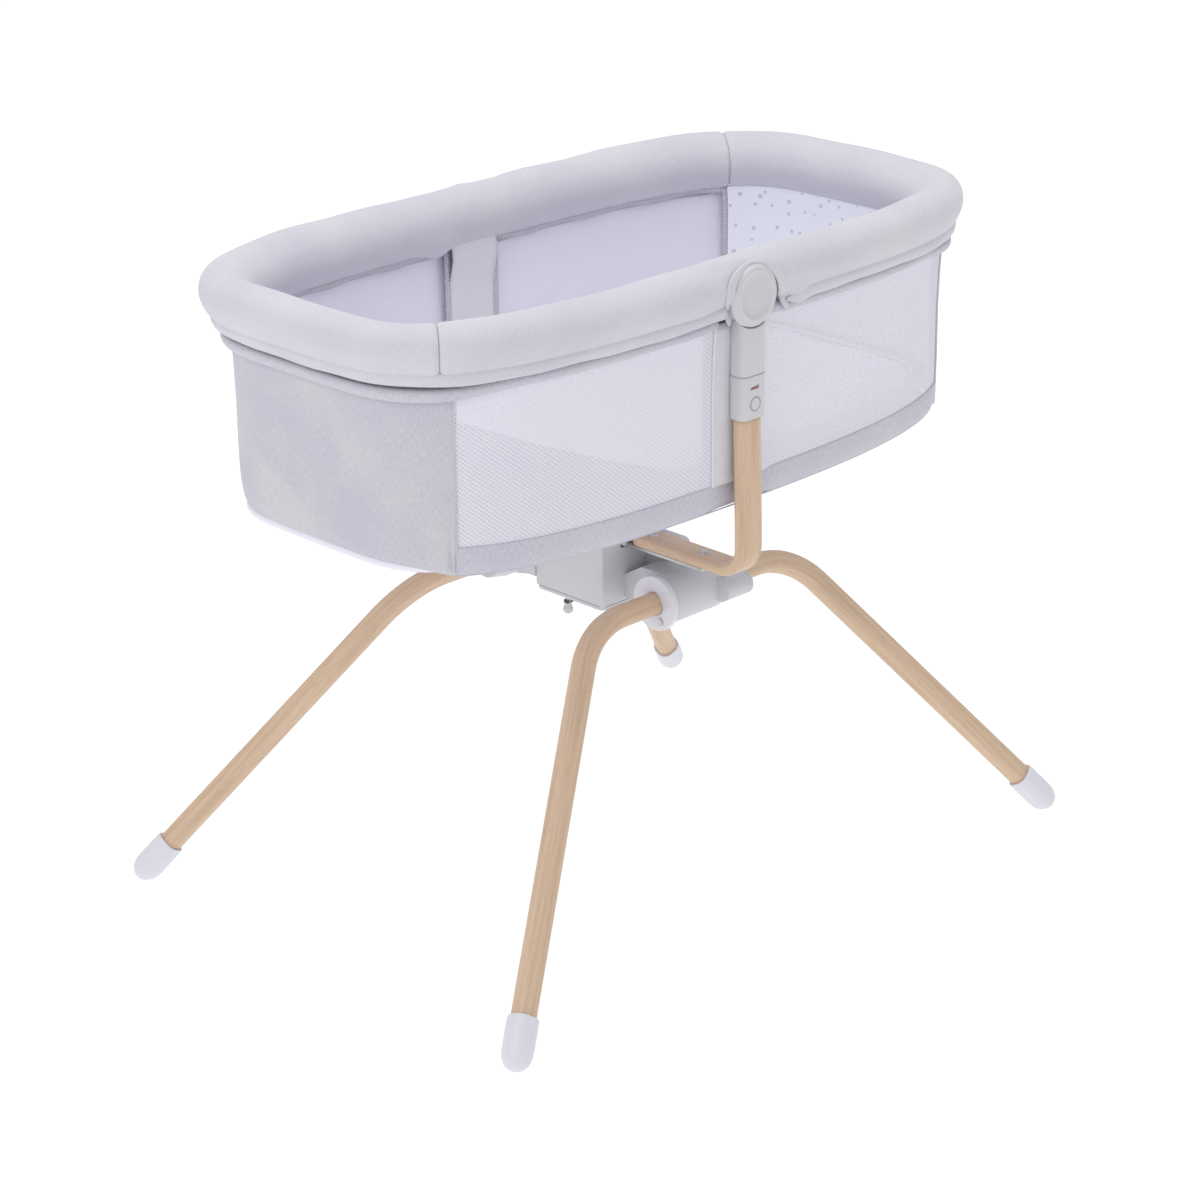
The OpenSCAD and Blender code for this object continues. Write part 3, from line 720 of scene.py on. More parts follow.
# Shift along X and Z for each metre of depth.
VIEW_SLANT = (1.088, -0.439)


def hub_side(s):
    """Distance along the rim from the nearer hub, below 0 on the side away from the flap."""
    s = np.mod(s, HALF)
    return -s if s < HALF / 2 else HALF - s


def roll_section(s):
    """The roll's outline at s: pulled in round the hubs and at the two joining seams.

    It also dips beside each hub, where the flap of the opening crosses it, and has soft folds inside.
    """
    loop = ROLL_LOOP.copy()
    pull = 1 - smooth_step(abs(hub_side(s)), 0.040, 0.082)
    outer = smooth_step(loop[:, 0], 0.002, 0.026)
    low = smooth_step(-loop[:, 1], 0.004, 0.022)
    loop[:, 0] -= 0.0062 * pull * outer
    crease = bump_at(hub_side(s), 0.060, 0.010)
    loop[:, 0] -= 0.0035 * crease * outer * low
    loop[:, 1] -= 0.008 * bump_at(hub_side(s), 0.067, 0.018) * low
    ripple = 0.0007 * math.sin(s * 23.0) + 0.0005 * math.sin(s * 51.0 + 1.0)
    loop[:, 1] += ripple * smooth_step(loop[:, 1], 0.0, 0.02)
    folds = sum(bump_at(s, far_s(x), width) for x, width in ROLL_FOLDS)
    inner = smooth_step(-loop[:, 0], 0.010, 0.026)
    loop[:, 0] += 0.0014 * folds * inner
    for seam in ROLL_SEAMS:
        loop *= 1 - 0.085 * bump_at(s, seam, 0.0026)
    loop[:, 1] += RIM_Z
    return loop


def roll_runs():
    """Lengths along the rim where the roll has rings, closer together at hubs and seams."""
    s = list(np.linspace(0, PERIMETER, 300, endpoint=False))
    at_seams = [(seam, 0.012, 0.0015) for seam in ROLL_SEAMS]
    for centre, reach, step in (*at_seams, (0, 0.085, 0.004), (HALF, 0.085, 0.004)):
        s = [v for v in s if abs((v - centre + HALF) % PERIMETER - HALF) > reach]
        s += list(np.mod(np.arange(centre - reach + step / 2, centre + reach, step), PERIMETER))
    return np.array(sorted(s))


CLOTH_SETTINGS = {
    "quality": 5,
    "mass": 0.2,
    "tension_stiffness": 18,
    "compression_stiffness": 18,
    "shear_stiffness": 8,
    "bending_stiffness": 0.6,
    "use_pressure": True,
    "vertex_group_mass": "Pinned",
}


def inflate(piece, pinned, cap, pressure, frames=20):
    """Cloth under pressure from inside, with some points held, no point moving further than cap."""
    rest = np.array([v.co for v in piece.data.vertices])
    group = piece.vertex_groups.new(name="Pinned")
    for i in np.flatnonzero(pinned > 0):
        group.add([int(i)], float(pinned[i]), "REPLACE")
    cloth_sim = piece.modifiers.new("Cloth", "CLOTH")
    for key, value in CLOTH_SETTINGS.items():
        setattr(cloth_sim.settings, key, value)
    cloth_sim.settings.uniform_pressure_force = pressure
    cloth_sim.settings.effector_weights.gravity = 0
    cloth_sim.collision_settings.use_collision = False
    cloth_sim.point_cache.frame_start = 1
    cloth_sim.point_cache.frame_end = frames
    for number in range(1, frames + 1):
        scene.frame_set(number)
    shown = piece.evaluated_get(bpy.context.evaluated_depsgraph_get())
    moved = np.array([v.co for v in shown.data.vertices]) - rest
    piece.modifiers.clear()
    scene.frame_set(1)
    far = np.linalg.norm(moved, axis=1)
    keep = np.minimum(1, cap / np.maximum(far, 1e-9))
    piece.data.vertices.foreach_set("co", (rest + moved * keep[:, None]).astype(np.float32).ravel())
    piece.data.update()


def cut_hub_openings(roll):
    """Openings in the roll's outer side, where the two hubs sit, open at the bottom."""
    arch = hub_hem_line()[0][::3, [0, 2]]
    outline = np.vstack([arch, arch[-1] - (0, 0.03), arch[0] - (0, 0.03)])
    for sign in (-1, 1):
        grid = np.array([[(-sign * x, sign * y, z) for x, z in outline] for y in OPENING_DEPTHS])
        cutter = grid_piece("cutter", grid, ROLL, closed_v=True, caps=True)
        cut = roll.modifiers.new("Opening", "BOOLEAN")
        cut.object = cutter
        cut.operation = "DIFFERENCE"
        cut.solver = "EXACT"
        apply_modifiers(roll)
        bpy.data.objects.remove(cutter)


def make_roll():
    """The padded roll sleeved over the rim tube, in one ring with two joining seams.

    Its UVs run by the rim's own length, so that the painted seam shade falls on the seams.
    """
    runs = roll_runs()
    grid = rim_grid(runs, roll_section)
    roll = grid_piece("rim_roll", grid, SEAM_SHADED_ROLL, closed_u=True, closed_v=True)
    layer = roll.data.uv_layers[0].data
    uv = np.zeros(2 * len(layer), np.float32)
    layer.foreach_get("uv", uv)
    uv[::2] = np.interp(uv[::2], mean_run(grid, 0, True), np.append(runs, PERIMETER + runs[0]))
    layer.foreach_set("uv", uv)
    heights = grid[:, :, 2].ravel() - RIM_Z
    inflate(roll, smooth_step(-heights, 0.016, 0.026), cap=0.004, pressure=3.0)
    subdivide(roll)
    cut_hub_openings(roll)
    shade_smooth(roll.data)
    settle(roll, "basket", "rim_fabric", "rim_pad_left", "rim_pad_right")


# In millimetres: (outward, above the rim's middle), and (outward, above the floor).
HEM_PROFILE = [
    (20.5, -19), (22.3, -23.5), (21.2, -29), (18.2, -33.5), (16.0, -34.6), (15.0, -33.0),
    (17.0, -28), (18.3, -23), (18.6, -19.5),
]
BINDING_PROFILE = [
    (7, 701), (11, 701), (14, 697.5), (14.4, 693), (12, 688.5), (8.5, 686.5), (6, 689), (5.5, 696)
]


def hem_section(s):
    """The roll's lower hem, hanging outside the basket's top; it tapers away at the hubs."""
    wave = 0.0006 * math.sin(s * 31.0) + 0.0004 * math.sin(s * 74.0 + 2.0)
    drop = 0.0095 * bump_at(hub_side(s), 0.066, 0.020)
    loop = smooth_curve(np.array(HEM_PROFILE) / 1000, 18, closed=True)
    low = smooth_step(-loop[:, 1], 0.021, 0.034)
    loop[:, 1] += RIM_Z + (wave - drop) * low
    loop[:, 0] -= 0.0040 * (1 - smooth_step(abs(hub_side(s)), 0.045, 0.080))
    middle = loop.mean(axis=0)
    side = hub_side(s)
    shown = 0.15 + 0.85 * smooth_step(side if side > 0 else 1.0, 0.056, 0.088)
    return middle + (loop - middle) * shown


def top_band_section(s):
    """The rolled binding along the basket's own top edge, under the hem."""
    wave = 0.0005 * math.sin(s * 27.0 + 1.0)
    tucked = 1 - smooth_step(abs(rim_x(s)), 0.31, 0.40)
    loop = smooth_curve(np.array(BINDING_PROFILE) / 1000, 16, closed=True)
    loop[:, 0] += wave - 0.004 * bump_at(abs(hub_side(s)), 0.036, 0.03) - 0.0035 * tucked
    loop[:, 1] += 0.0055 * tucked
    return loop


def make_hems():
    """The roll's hems and the basket's bound top edge, each in a left and a right run."""
    for name, start, end, section, material in (
        ("rim_hem_left", near_s(-0.033), far_s(-0.058), hem_section, ROLL),
        ("rim_hem_right", far_s(0.033), near_s(0.058) + PERIMETER, hem_section, ROLL),
        ("top_binding_left", near_s(-0.038), far_s(-0.038), top_band_section, BAND),
        ("top_binding_right", far_s(0.038), near_s(0.038) + PERIMETER, top_band_section, BAND),
    ):
        grid = rim_grid(np.linspace(start, end, 190), section)
        hem = grid_piece(name, grid, material, closed_v=True, caps=True)
        settle(subdivide(hem), "basket", "rim_fabric")


# In millimetres: (along X, above the hub's middle, width of the hem).
OPENING_HEM = [
    (-38.0, -25.5, 8), (-38.8, -16, 11.5), (-38.0, -2, 12), (-36.0, 11, 12.5), (-31.5, 22, 12.5),
    (-21, 32, 9.5), (-7, 37, 6.5), (6, 35.5, 6), (18, 31.5, 8), (27, 27, 11), (36, 19, 11),
    (41, 11.5, 10.5), (43.5, 3, 10), (44.2, -6, 9.5), (46.2, -13, 9.3), (50.5, -20, 9), (52.5, -29, 6),
]
HEM_RINGS = 90
HEM_THICKNESS = 0.0022


def hub_hem_line():
    """Centre line and width of the near hub opening's hem, from its lower left to the flap's point.

    The hem's shape is laid out on an upright plane at the hub's face, and carried back
    from there onto the roll's surface along the line of view.
    """
    line = smooth_curve(np.array(OPENING_HEM) / 1000, HEM_RINGS)
    outer = ROLL_LOOP[np.argsort(ROLL_LOOP[:, 1])]
    outer = outer[outer[:, 0] > 0.006]
    x, dz = line[:, 0], line[:, 1]
    for _ in range(4):
        reach = np.interp(HUB_Z + dz - RIM_Z, outer[:, 1], outer[:, 0]) - 0.0055
        depth = RIM_W + np.maximum(reach, 0.012) + 0.0012
        back = HEM_PLANE_Y - depth
        x, dz = line[:, 0] + VIEW_SLANT[0] * back, line[:, 1] + VIEW_SLANT[1] * back
    return np.stack([x, -depth, HUB_Z + dz], axis=1), line[:, 2]


def make_hub_hem():
    """The folded hem of the opening round the near hub."""
    centre, width = hub_hem_line()
    x, dz = centre[:, 0], centre[:, 2] - HUB_Z
    along = np.gradient(centre, axis=0)
    along /= np.linalg.norm(along, axis=1)[:, None]
    away = np.stack([x, np.zeros_like(x), dz], axis=1)
    away -= (away * along).sum(1)[:, None] * along
    away /= np.linalg.norm(away, axis=1)[:, None]
    proud = np.cross(along, away)
    proud *= np.sign(-proud[:, 1])[:, None]
    turn = np.linspace(0, 2 * math.pi, 18, endpoint=False)
    across = np.sign(np.cos(turn)) * np.abs(np.cos(turn)) ** 0.7
    rise = np.sign(np.sin(turn)) * np.abs(np.sin(turn)) ** 0.7
    rings = np.arange(HEM_RINGS)
    tip = np.sqrt(np.clip(np.minimum(rings, rings[::-1]) / 5.0, 0.12, 1))
    grid = centre[:, None, :] + (
        away[:, None, :] * (across[None, :] * (width * tip)[:, None] / 2)[:, :, None]
        + proud[:, None, :] * (rise[None, :] * tip[:, None] * HEM_THICKNESS)[:, :, None]
    )
    return subdivide(grid_piece("near_hub_hem", grid, ROLL, closed_v=True, caps=True))


make_roll()
make_hems()
pair_up(make_hub_hem(), "far_hub_hem", "basket", "rim_fabric")


# ---- Basket walls ----
CURL_TOP = 0.548
END_FOLD_X = 0.4295
# The piping on a side seam and the stitch line beside it: (shift away from the seam, radius).
SEAM_LINES = ((0.0, 0.0011), (0.0065, 0.0006))


def side_low(x):
    """Height of the side walls' lower edge."""
    return 0.4855 + 0.0095 * (abs(x) / SEAM_X) ** 2.2


def band_top(x):
    """Height of the top of the band along the side walls' foot."""
    return 0.517 + 0.0105 * (abs(x) / SEAM_X) ** 2.2


def end_low(s):
    """Height of the end walls' lower edge, the length s along the rim."""
    return 0.4950 + 0.0085 * smooth_step(abs(rim_x(s)), SEAM_X, 0.425)


def wall_offset(z):
    """How far the cloth walls stand out from the rim's line, by height."""
    heights = [0.48, 0.52, 0.56, 0.62, 0.67, 0.70]
    return np.interp(z, heights, [-0.0005, 0.0005, 0.0008, 0.0005, 0.002, 0.0045])


def end_section(s):
    """An end wall from its top down to its edge, which turns in underneath."""
    low = end_low(s)
    curl = low + (CURL_TOP - low) * np.cos(np.linspace(0.12, 1.0, 14) * math.pi / 2)
    z = np.concatenate([np.linspace(WALL_TOP, CURL_TOP, 16), curl])
    turn_in = np.clip((CURL_TOP - z) / (CURL_TOP - low), 0, 1)
    square = smooth_step(abs(rim_x(s)), SEAM_X, 0.405)
    offset = wall_offset(z) - (0.0035 + 0.005 * square) * (1 - np.sqrt(np.clip(1 - turn_in**2, 0, 1)))
    puff = 0.0010 * math.sin(s * 19.0 + 0.7) * np.sin((z - low) / (0.70 - low) * math.pi)
    return np.stack([offset + puff + fold_on_end(s, z), z], axis=1)


def fold_on_end(s, z):
    """The soft slanting fold low on each end wall."""
    fold_s = far_s(-END_FOLD_X) if s < HALF else near_s(END_FOLD_X) + PERIMETER
    along = (np.mod(s, PERIMETER) - fold_s) / 0.045
    line = 0.575 + 0.022 * along
    return 0.0030 * np.exp(-(((z - line) / 0.012) ** 2)) * np.exp(-(along**2))


def declare_sheet(piece, width, height, slot_name, *nodes, area=None, with_pieces=()):
    """A stretched sheet of the basket, settled with the nodes that it stands for; its flat size (width,
    height, area) and with_pieces are not used.
    """
    settle(piece, "basket", slot_name, *nodes)


def make_end_panel(name, start, end, node):
    """A heather end wall, from one side seam round the end to the other."""
    s = np.linspace(start, end, 120)
    panel = subdivide(thicken(grid_piece(name, rim_grid(s, end_section), HEATHER), 0.0016))
    declare_sheet(panel, end - start, END_HEIGHT, "heather_fabric", node)


def side_grid(x0, x1, side, section, count):
    """A surface along a side, from x0 to x1."""
    x = np.linspace(x0, x1, count)
    s = np.array([SIDE_S[side](v) for v in x])
    rows = {float(a): b for a, b in zip(s, x)}
    return rim_grid(s, lambda v: section(rows[float(v)]))


def mesh_section(x):
    """A mesh wall from its top to the band."""
    z = np.linspace(WALL_TOP, band_top(x) - 0.002, 26)
    belly = 0.0022 * math.sin(math.pi * (abs(x) - STRIP_X) / (SEAM_X - STRIP_X))
    middle = np.sin((z - z[-1]) / (z[0] - z[-1]) * math.pi)
    return np.stack([wall_offset(z) + belly * middle, z], axis=1)


def band_section(x):
    """The heather band along a side's foot, a little proud of the mesh, dented beside the arm's socket."""
    low, top = side_low(x), band_top(x)
    z = np.linspace(top, low, 10)
    puff = 0.0016 * np.sin(np.linspace(0, 1, 10) * math.pi)
    turn_in = 0.0035 * np.linspace(0, 1, 10) ** 3
    room_for_socket = 0.0034 * (1 - smooth_step(abs(x), 0.024, 0.060))
    return np.stack([wall_offset(z) + 0.0006 + puff - turn_in - room_for_socket, z], axis=1)


def strip_section(x):
    """The upright strip under a hub."""
    z = np.linspace(0.699, band_top(x) - 0.002, 20)
    return np.stack([wall_offset(z) + 0.0008 - 0.0018 * smooth_step(z, 0.68, 0.70), z], axis=1)


def side_path(x0, x1, side, height, outward_by, count):
    """A path along a side at a height that depends on x."""
    def section(x):
        return np.array([(wall_offset(height(x)) + outward_by, height(x))])

    return side_grid(x0, x1, side, section, count)[:, 0, :]


def upright_path(x, side, z0, z1, outward_by, count=24):
    """A path up a side wall."""
    z = np.linspace(z0, z1, count)
    rows = np.stack([wall_offset(z) + outward_by, z], axis=1)
    return rim_grid(np.array([SIDE_S[side](x)]), rows)[0]


def make_side(side):
    """Both mesh walls, the middle strip, the foot band and the piping of one long side."""
    node, mesh_look = f"{side}_mesh", MESH if side == "near" else FAR_MESH
    for end, sign in (("left", -1), ("right", 1)):
        x0, x1 = STRIP_MID + sign * STRIP_X, sign * SEAM_X
        wall = grid_piece(f"{side}_mesh_{end}", side_grid(x0, x1, side, mesh_section, 70), mesh_look)
        for number, (shift, radius) in enumerate(SEAM_LINES):
            path = upright_path(sign * (SEAM_X + shift), side, 0.5000, 0.701, 0.0009)
            seam = tube(f"{side}_seam_{end}_{number}", path, radius, HEATHER)
            settle(seam, "basket", "heather_fabric")
        path = upright_path(x0, side, 0.516, 0.698, 0.0014)
        piping = tube(f"{side}_strip_piping_{end}", path, 0.0016, PIPING)
        settle(piping, "basket", "heather_fabric")
        width = abs(x1 - x0)
        declare_sheet(wall, width, MESH_HEIGHT, "mesh_fabric", node, area=MESH_MEAN_HEIGHT * width)
    grid = side_grid(STRIP_MID - STRIP_X, STRIP_MID + STRIP_X, side, strip_section, 14)
    strip = thicken(grid_piece(f"{side}_middle_strip", grid, STRIP), 0.0016)
    declare_sheet(strip, 2 * STRIP_X, STRIP_HEIGHT, "heather_fabric")
    grid = side_grid(-SEAM_X - 0.001, SEAM_X + 0.001, side, band_section, 120)
    band = subdivide(thicken(grid_piece(f"{side}_foot_band", grid, BAND), 0.0018))
    path = side_path(-SEAM_X, SEAM_X, side, lambda x: side_low(x) - 0.0002, -0.0027, 120)
    edge = tube(f"{side}_band_piping", path, 0.0009, BAND)
    settle(edge, "basket", "heather_fabric")
    node = f"{side}_side_trim"
    declare_sheet(band, 2 * SEAM_X, BAND_HEIGHT, "heather_fabric", node, with_pieces=[edge])


make_end_panel("left_end_wall", near_s(-SEAM_X), far_s(-SEAM_X), "end_panel_left")
make_end_panel("right_end_wall", far_s(SEAM_X), near_s(SEAM_X) + PERIMETER, "end_panel_right")
make_side("near")
make_side("far")


# ---- Inside the basket ----
TAPE_INSET = 0.0062
LINER_FOOT = 0.534
WING_ENDS = (-0.380, -0.021)
MATTRESS_INSET = 0.016
UNDERSIDE = 0.4950


def tape_section(x):
    """The tape under the roll along the mesh; it waves a little."""
    z = np.array([0.7085, 0.7050, 0.7005, 0.6968]) + 0.0016 * math.sin(x * 61.0)
    return np.stack([np.array([-0.0050, -TAPE_INSET, -TAPE_INSET, -0.0050]), z], axis=1)


def make_inner_tapes(side):
    """Overlock tapes inside: under the roll along the mesh, beside the strip and at the liners' edges."""
    made = []
    for end, sign in (("left", -1), ("right", 1)):
        grid = side_grid(STRIP_MID + sign * 0.040, sign * 0.378, side, tape_section, 90)
        made.append(grid_piece(f"{side}_inner_tape_{end}", grid, BINDING))
        for name, x, width in (
            ("strip", STRIP_MID + sign * 0.0375, 0.008),
            ("liner", sign * 0.3800, 0.0095),
        ):
            s = [SIDE_S[side](v) for v in np.linspace(x - width / 2, x + width / 2, 4)]
            z = np.linspace(0.704, 0.530, 40)
            grid = rim_grid(np.array(s), np.stack([np.full(40, -TAPE_INSET), z], axis=1))
            made.append(grid_piece(f"{side}_{name}_tape_{end}", np.swapaxes(grid, 0, 1), BINDING))
    for piece in made:
        settle(thicken(piece, 0.0010), "basket", "heather_fabric")


def make_inner_strip(side):
    """The inner layer of a middle strip, which hangs over the hub housing inside the basket."""
    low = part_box("far_hub_housing")[0]
    inset = RIM_W - low.y + 0.0020
    z = np.linspace(RIM_Z - 0.016, 0.530, 34)
    over_housing = smooth_step(z, low.z - 0.045, low.z + 0.002)
    rows = np.stack([-0.0060 - (inset - 0.0060) * over_housing, z], axis=1)
    grid = side_grid(STRIP_MID - 0.0345, STRIP_MID + 0.0345, side, lambda x: rows, 12)
    inner = thicken(grid_piece(f"{side}_inner_strip", grid, INNER_STRIP), 0.0012)
    settle(inner, "basket", "heather_fabric")


def liner_section(s):
    """A padded liner that stands inside an end wall."""
    z = np.linspace(0.706, LINER_FOOT, 22)
    puff = 0.0016 * math.sin(s * 37.0) * np.sin((z - LINER_FOOT) / LINER_HEIGHT * math.pi)
    return np.stack([-0.0085 + puff - 0.002 * smooth_step(-z, -0.56, -LINER_FOOT), z], axis=1)


def wing_top(x):
    """Height of the curved top edge of the plain wing behind the near left mesh."""
    along = [-0.392, -0.380, -0.283, -0.197, -0.120, -0.060, -0.021]
    return np.interp(x, along, [0.668, 0.662, 0.618, 0.583, 0.553, 0.535, 0.533])


def wing_section(x):
    """The plain wing from its foot to its curved top edge."""
    return np.stack([np.full(12, -0.0068), np.linspace(0.508, wing_top(x), 12)], axis=1)


def make_liners():
    """The dotted liners of both ends, and the plain wing behind the near left mesh."""
    for name, start, end in (
        ("left_liner", near_s(-0.381), far_s(-0.381)),
        ("right_liner", far_s(0.381), near_s(0.381) + PERIMETER),
    ):
        liner = grid_piece(name, rim_grid(np.linspace(start, end, 110), liner_section), DOTTED)
        subdivide(thicken(liner, 0.003))
        declare_sheet(liner, end - start, LINER_HEIGHT, "dotted_liner", "end_liners")
    wing = grid_piece("left_liner_wing", side_grid(*WING_ENDS, "near", wing_section, 60), WHITE_CLOTH)
    thicken(wing, 0.0012)
    declare_sheet(wing, 0.371, 0.16, "dotted_liner", area=0.030)
    top_line = side_grid(*WING_ENDS, "near", lambda x: np.array([(-TAPE_INSET, wing_top(x))]), 60)
    edge = tube("left_liner_wing_edge", top_line[:, 0, :], 0.0018, BINDING)
    settle(edge, "basket", "heather_fabric")


def stacked_rings(name, rows, inset, material, count=150):
    """A closed form on the rim's outline: rows are (share of the outline's size, height)."""
    p, n = rim(np.linspace(0, PERIMETER, count, endpoint=False))
    outline = p - n * inset
    points, faces, uvs = [], [], []
    for share, z in rows:
        points += [(x * share, y * share, z) for x, y in outline]
    for r in range(len(rows) - 1):
        for i in range(count):
            j = (i + 1) % count
            faces.append((r * count + i, r * count + j, (r + 1) * count + j, (r + 1) * count + i))
    faces.append(tuple(range(count)))
    faces.append(tuple((len(rows) - 1) * count + i for i in reversed(range(count))))
    for face in faces:
        uvs += [points[i][:2] for i in face]
    return outward(mesh_piece(name, points, faces, uvs, material))


def make_mattress():
    """The mattress in its dotted cover, with piping round its top and its foot."""
    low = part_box("mattress")[0].z + 0.001
    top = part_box("mattress")[1].z
    rows = [
        (0.30, low), (0.70, low), (0.93, low + 0.0005), (0.975, low + 0.003), (0.985, low + 0.009),
        (0.985, top - 0.009), (0.975, top - 0.0035), (0.95, top - 0.0012), (0.90, top),
        (0.6, top + 0.0006), (0.3, top + 0.001),
    ]
    pad = stacked_rings("mattress_pad", rows, MATTRESS_INSET, COVER)
    remesh = pad.modifiers.new("Remesh", "REMESH")
    remesh.mode = "VOXEL"
    remesh.voxel_size = 0.006
    apply_modifiers(pad)
    co = np.array([v.co for v in pad.data.vertices])
    held = 1 - smooth_step(co[:, 2], low + 0.002, low + 0.006)
    inflate(pad, held, cap=0.0045, pressure=2.0)
    shade_smooth(pad.data)
    settle(pad, "basket", "mattress_cover", "mattress")
    p, n = rim(np.linspace(0, PERIMETER, 260, endpoint=False))
    outline = (p - n * MATTRESS_INSET) * 0.982
    for name, z in (("mattress_piping_top", top - 0.0035), ("mattress_piping_low", low + 0.004)):
        path = np.column_stack([outline, np.full(len(outline), z)])
        piping = tube(name, path, 0.0016, WHITE_CLOTH, closed=True)
        settle(piping, "basket", "mattress_cover")


def make_under_cloth():
    """The white cloth that closes the basket underneath, wrapped a little up round the board's edge."""
    count = 160
    p, n = rim(np.linspace(0, PERIMETER, count, endpoint=False))
    rows = []
    for inset, z in (
        (0.0105, 0.5060), (0.0080, 0.5020), (0.0085, 0.4990), (0.0120, 0.4970), (0.0220, 0.4955),
        (0.0450, UNDERSIDE), (0.0750, UNDERSIDE),
    ):
        rows.append(np.column_stack([p - n * inset, np.full(count, z)]))
    for share in (0.55, 0.3, 0.12):
        rows.append(np.column_stack([p * share, np.full(count, UNDERSIDE)]))
    grid = np.swapaxes(np.array(rows), 0, 1)
    under = thicken(grid_piece("under_cloth", grid, WHITE_CLOTH, closed_u=True), 0.0010)
    declare_sheet(under, 0.83, 0.39, "floor_fabric", "basket_floor", area=0.30)


make_inner_tapes("near")
make_inner_tapes("far")
make_inner_strip("near")
make_inner_strip("far")
make_liners()
make_mattress()
make_under_cloth()


# ---- Bentwood legs and their feet ----
LEG_W, LEG_T, LEG_CORNER_R, LEG_BEND_R = 0.026, 0.024, 0.009, 0.100
# Where each leg starts and where its straight parts would meet, as distances from the middle.
LEG_STARTS = {"left": 0.011, "right": 0.046}
LEG_CORNERS = {"left": 0.137, "right": 0.186}
FOOT_X, FOOT_Y, SOLE_Z = 0.440, 0.315, 0.015
SPLAY = math.atan2(FOOT_Y - HINGE_Y, HINGE_Z - SOLE_Z)
DROP = math.hypot(FOOT_Y - HINGE_Y, HINGE_Z - SOLE_Z)
FOOT_OVER = 0.0062
# Rings of a foot cap: (distance up the leg from the sole, size, how square).
FOOT_STEPS = [
    (-0.0168, 0.10, 0.0), (-0.0160, 0.36, 0.0), (-0.0135, 0.60, 0.0), (-0.0095, 0.79, 0.05),
    (-0.0045, 0.92, 0.10), (0.001, 0.98, 0.20), (0.008, 1.0, 0.35), (0.020, 1.01, 0.6), (0.032, 1.01, 0.9),
    (0.0400, 1.0, 1.0), (0.0418, 0.975, 1.0), (0.0420, 0.93, 1.0), (0.0400, 0.90, 1.0),
]


def hung(points):
    """From the leg frame's own plane, hung from the hinge line, to the CAD's frame."""
    points = np.asarray(points, float)
    y = points[:, 1] * math.cos(SPLAY) + points[:, 2] * math.sin(SPLAY)
    z = -points[:, 1] * math.sin(SPLAY) + points[:, 2] * math.cos(SPLAY)
    return np.stack([points[:, 0], y - HINGE_Y, z + HINGE_Z], axis=1)


def leg_path(end):
    """The leg's centre line in its plane, and the direction down the leg."""
    sign = -1 if end == "left" else 1
    corner = LEG_CORNERS[end]
    lean = math.atan2(DROP, FOOT_X - corner)
    reach = math.hypot(DROP, FOOT_X - corner)
    tangent = LEG_BEND_R * math.tan(lean / 2)
    bend = corner - tangent
    points = [(x, 0.0, 0.0) for x in np.linspace(LEG_STARTS[end], bend, 12)[:-1]]
    for a in np.linspace(0, lean, 26):
        points.append((bend + LEG_BEND_R * math.sin(a), 0.0, -LEG_BEND_R * (1 - math.cos(a))))
    tail = reach - tangent
    down = (math.cos(lean), -math.sin(lean))
    bend_end = points[-1]
    for d in np.linspace(0, tail - 0.020, 30)[1:]:
        points.append((bend_end[0] + down[0] * d, 0.0, bend_end[2] + down[1] * d))
    points = np.array(points) * np.array([sign, 1, 1])
    sole = np.array([sign * (corner + reach * down[0]), 0.0, reach * down[1]])
    return points, sole, np.array([sign * down[0], 0.0, down[1]])


def make_leg(end):
    """One bentwood leg of the near frame and its foot cap."""
    path, sole, down = leg_path(end)
    cross = hung([(0, 1, 0)])[0] - hung([(0, 0, 0)])[0]
    section = rounded_section(LEG_T, LEG_W, LEG_CORNER_R)
    leg = bar(f"near_{end}_bentwood_leg", hung(path), cross, section, BEECH)
    up = -down
    in_plane = np.array([up[2], 0, -up[0]])
    square = rounded_section(LEG_T + FOOT_OVER, LEG_W + FOOT_OVER, 0.0115, 7)
    turn = np.arctan2(square[:, 1], square[:, 0])
    circle = 0.0175 * np.stack([np.cos(turn), np.sin(turn)], axis=1)
    rings = []
    for t, size, squareness in FOOT_STEPS:
        ring = (circle * (1 - squareness) + square * squareness) * size
        rings.append([sole + up * t + np.array([0, a, 0]) + in_plane * b for a, b in ring])
    grid = np.array([hung(r) for r in rings])
    grid[:, :, 2] = np.maximum(grid[:, :, 2], 0.0)
    foot = subdivide(grid_piece(f"near_{end}_foot_cap", grid, WHITE, closed_v=True, caps=True))
    return leg, foot


for end in ("left", "right"):
    leg, foot = make_leg(end)
    for side in ("near", "far"):
        if side == "far":
            leg = far_copy(leg, f"far_{end}_bentwood_leg")
            foot = far_copy(foot, f"far_{end}_foot_cap")
        settle(leg, f"{side}_leg_frame", "bentwood", f"{side}_{end}_leg")
        settle(foot, f"{side}_leg_frame", "foot_plastic", f"{side}_{end}_foot")


# ---- Arms ----
ARM_W, ARM_T, ARM_BEND_R, ARM_END_Y = 0.036, 0.013, 0.030, 0.059


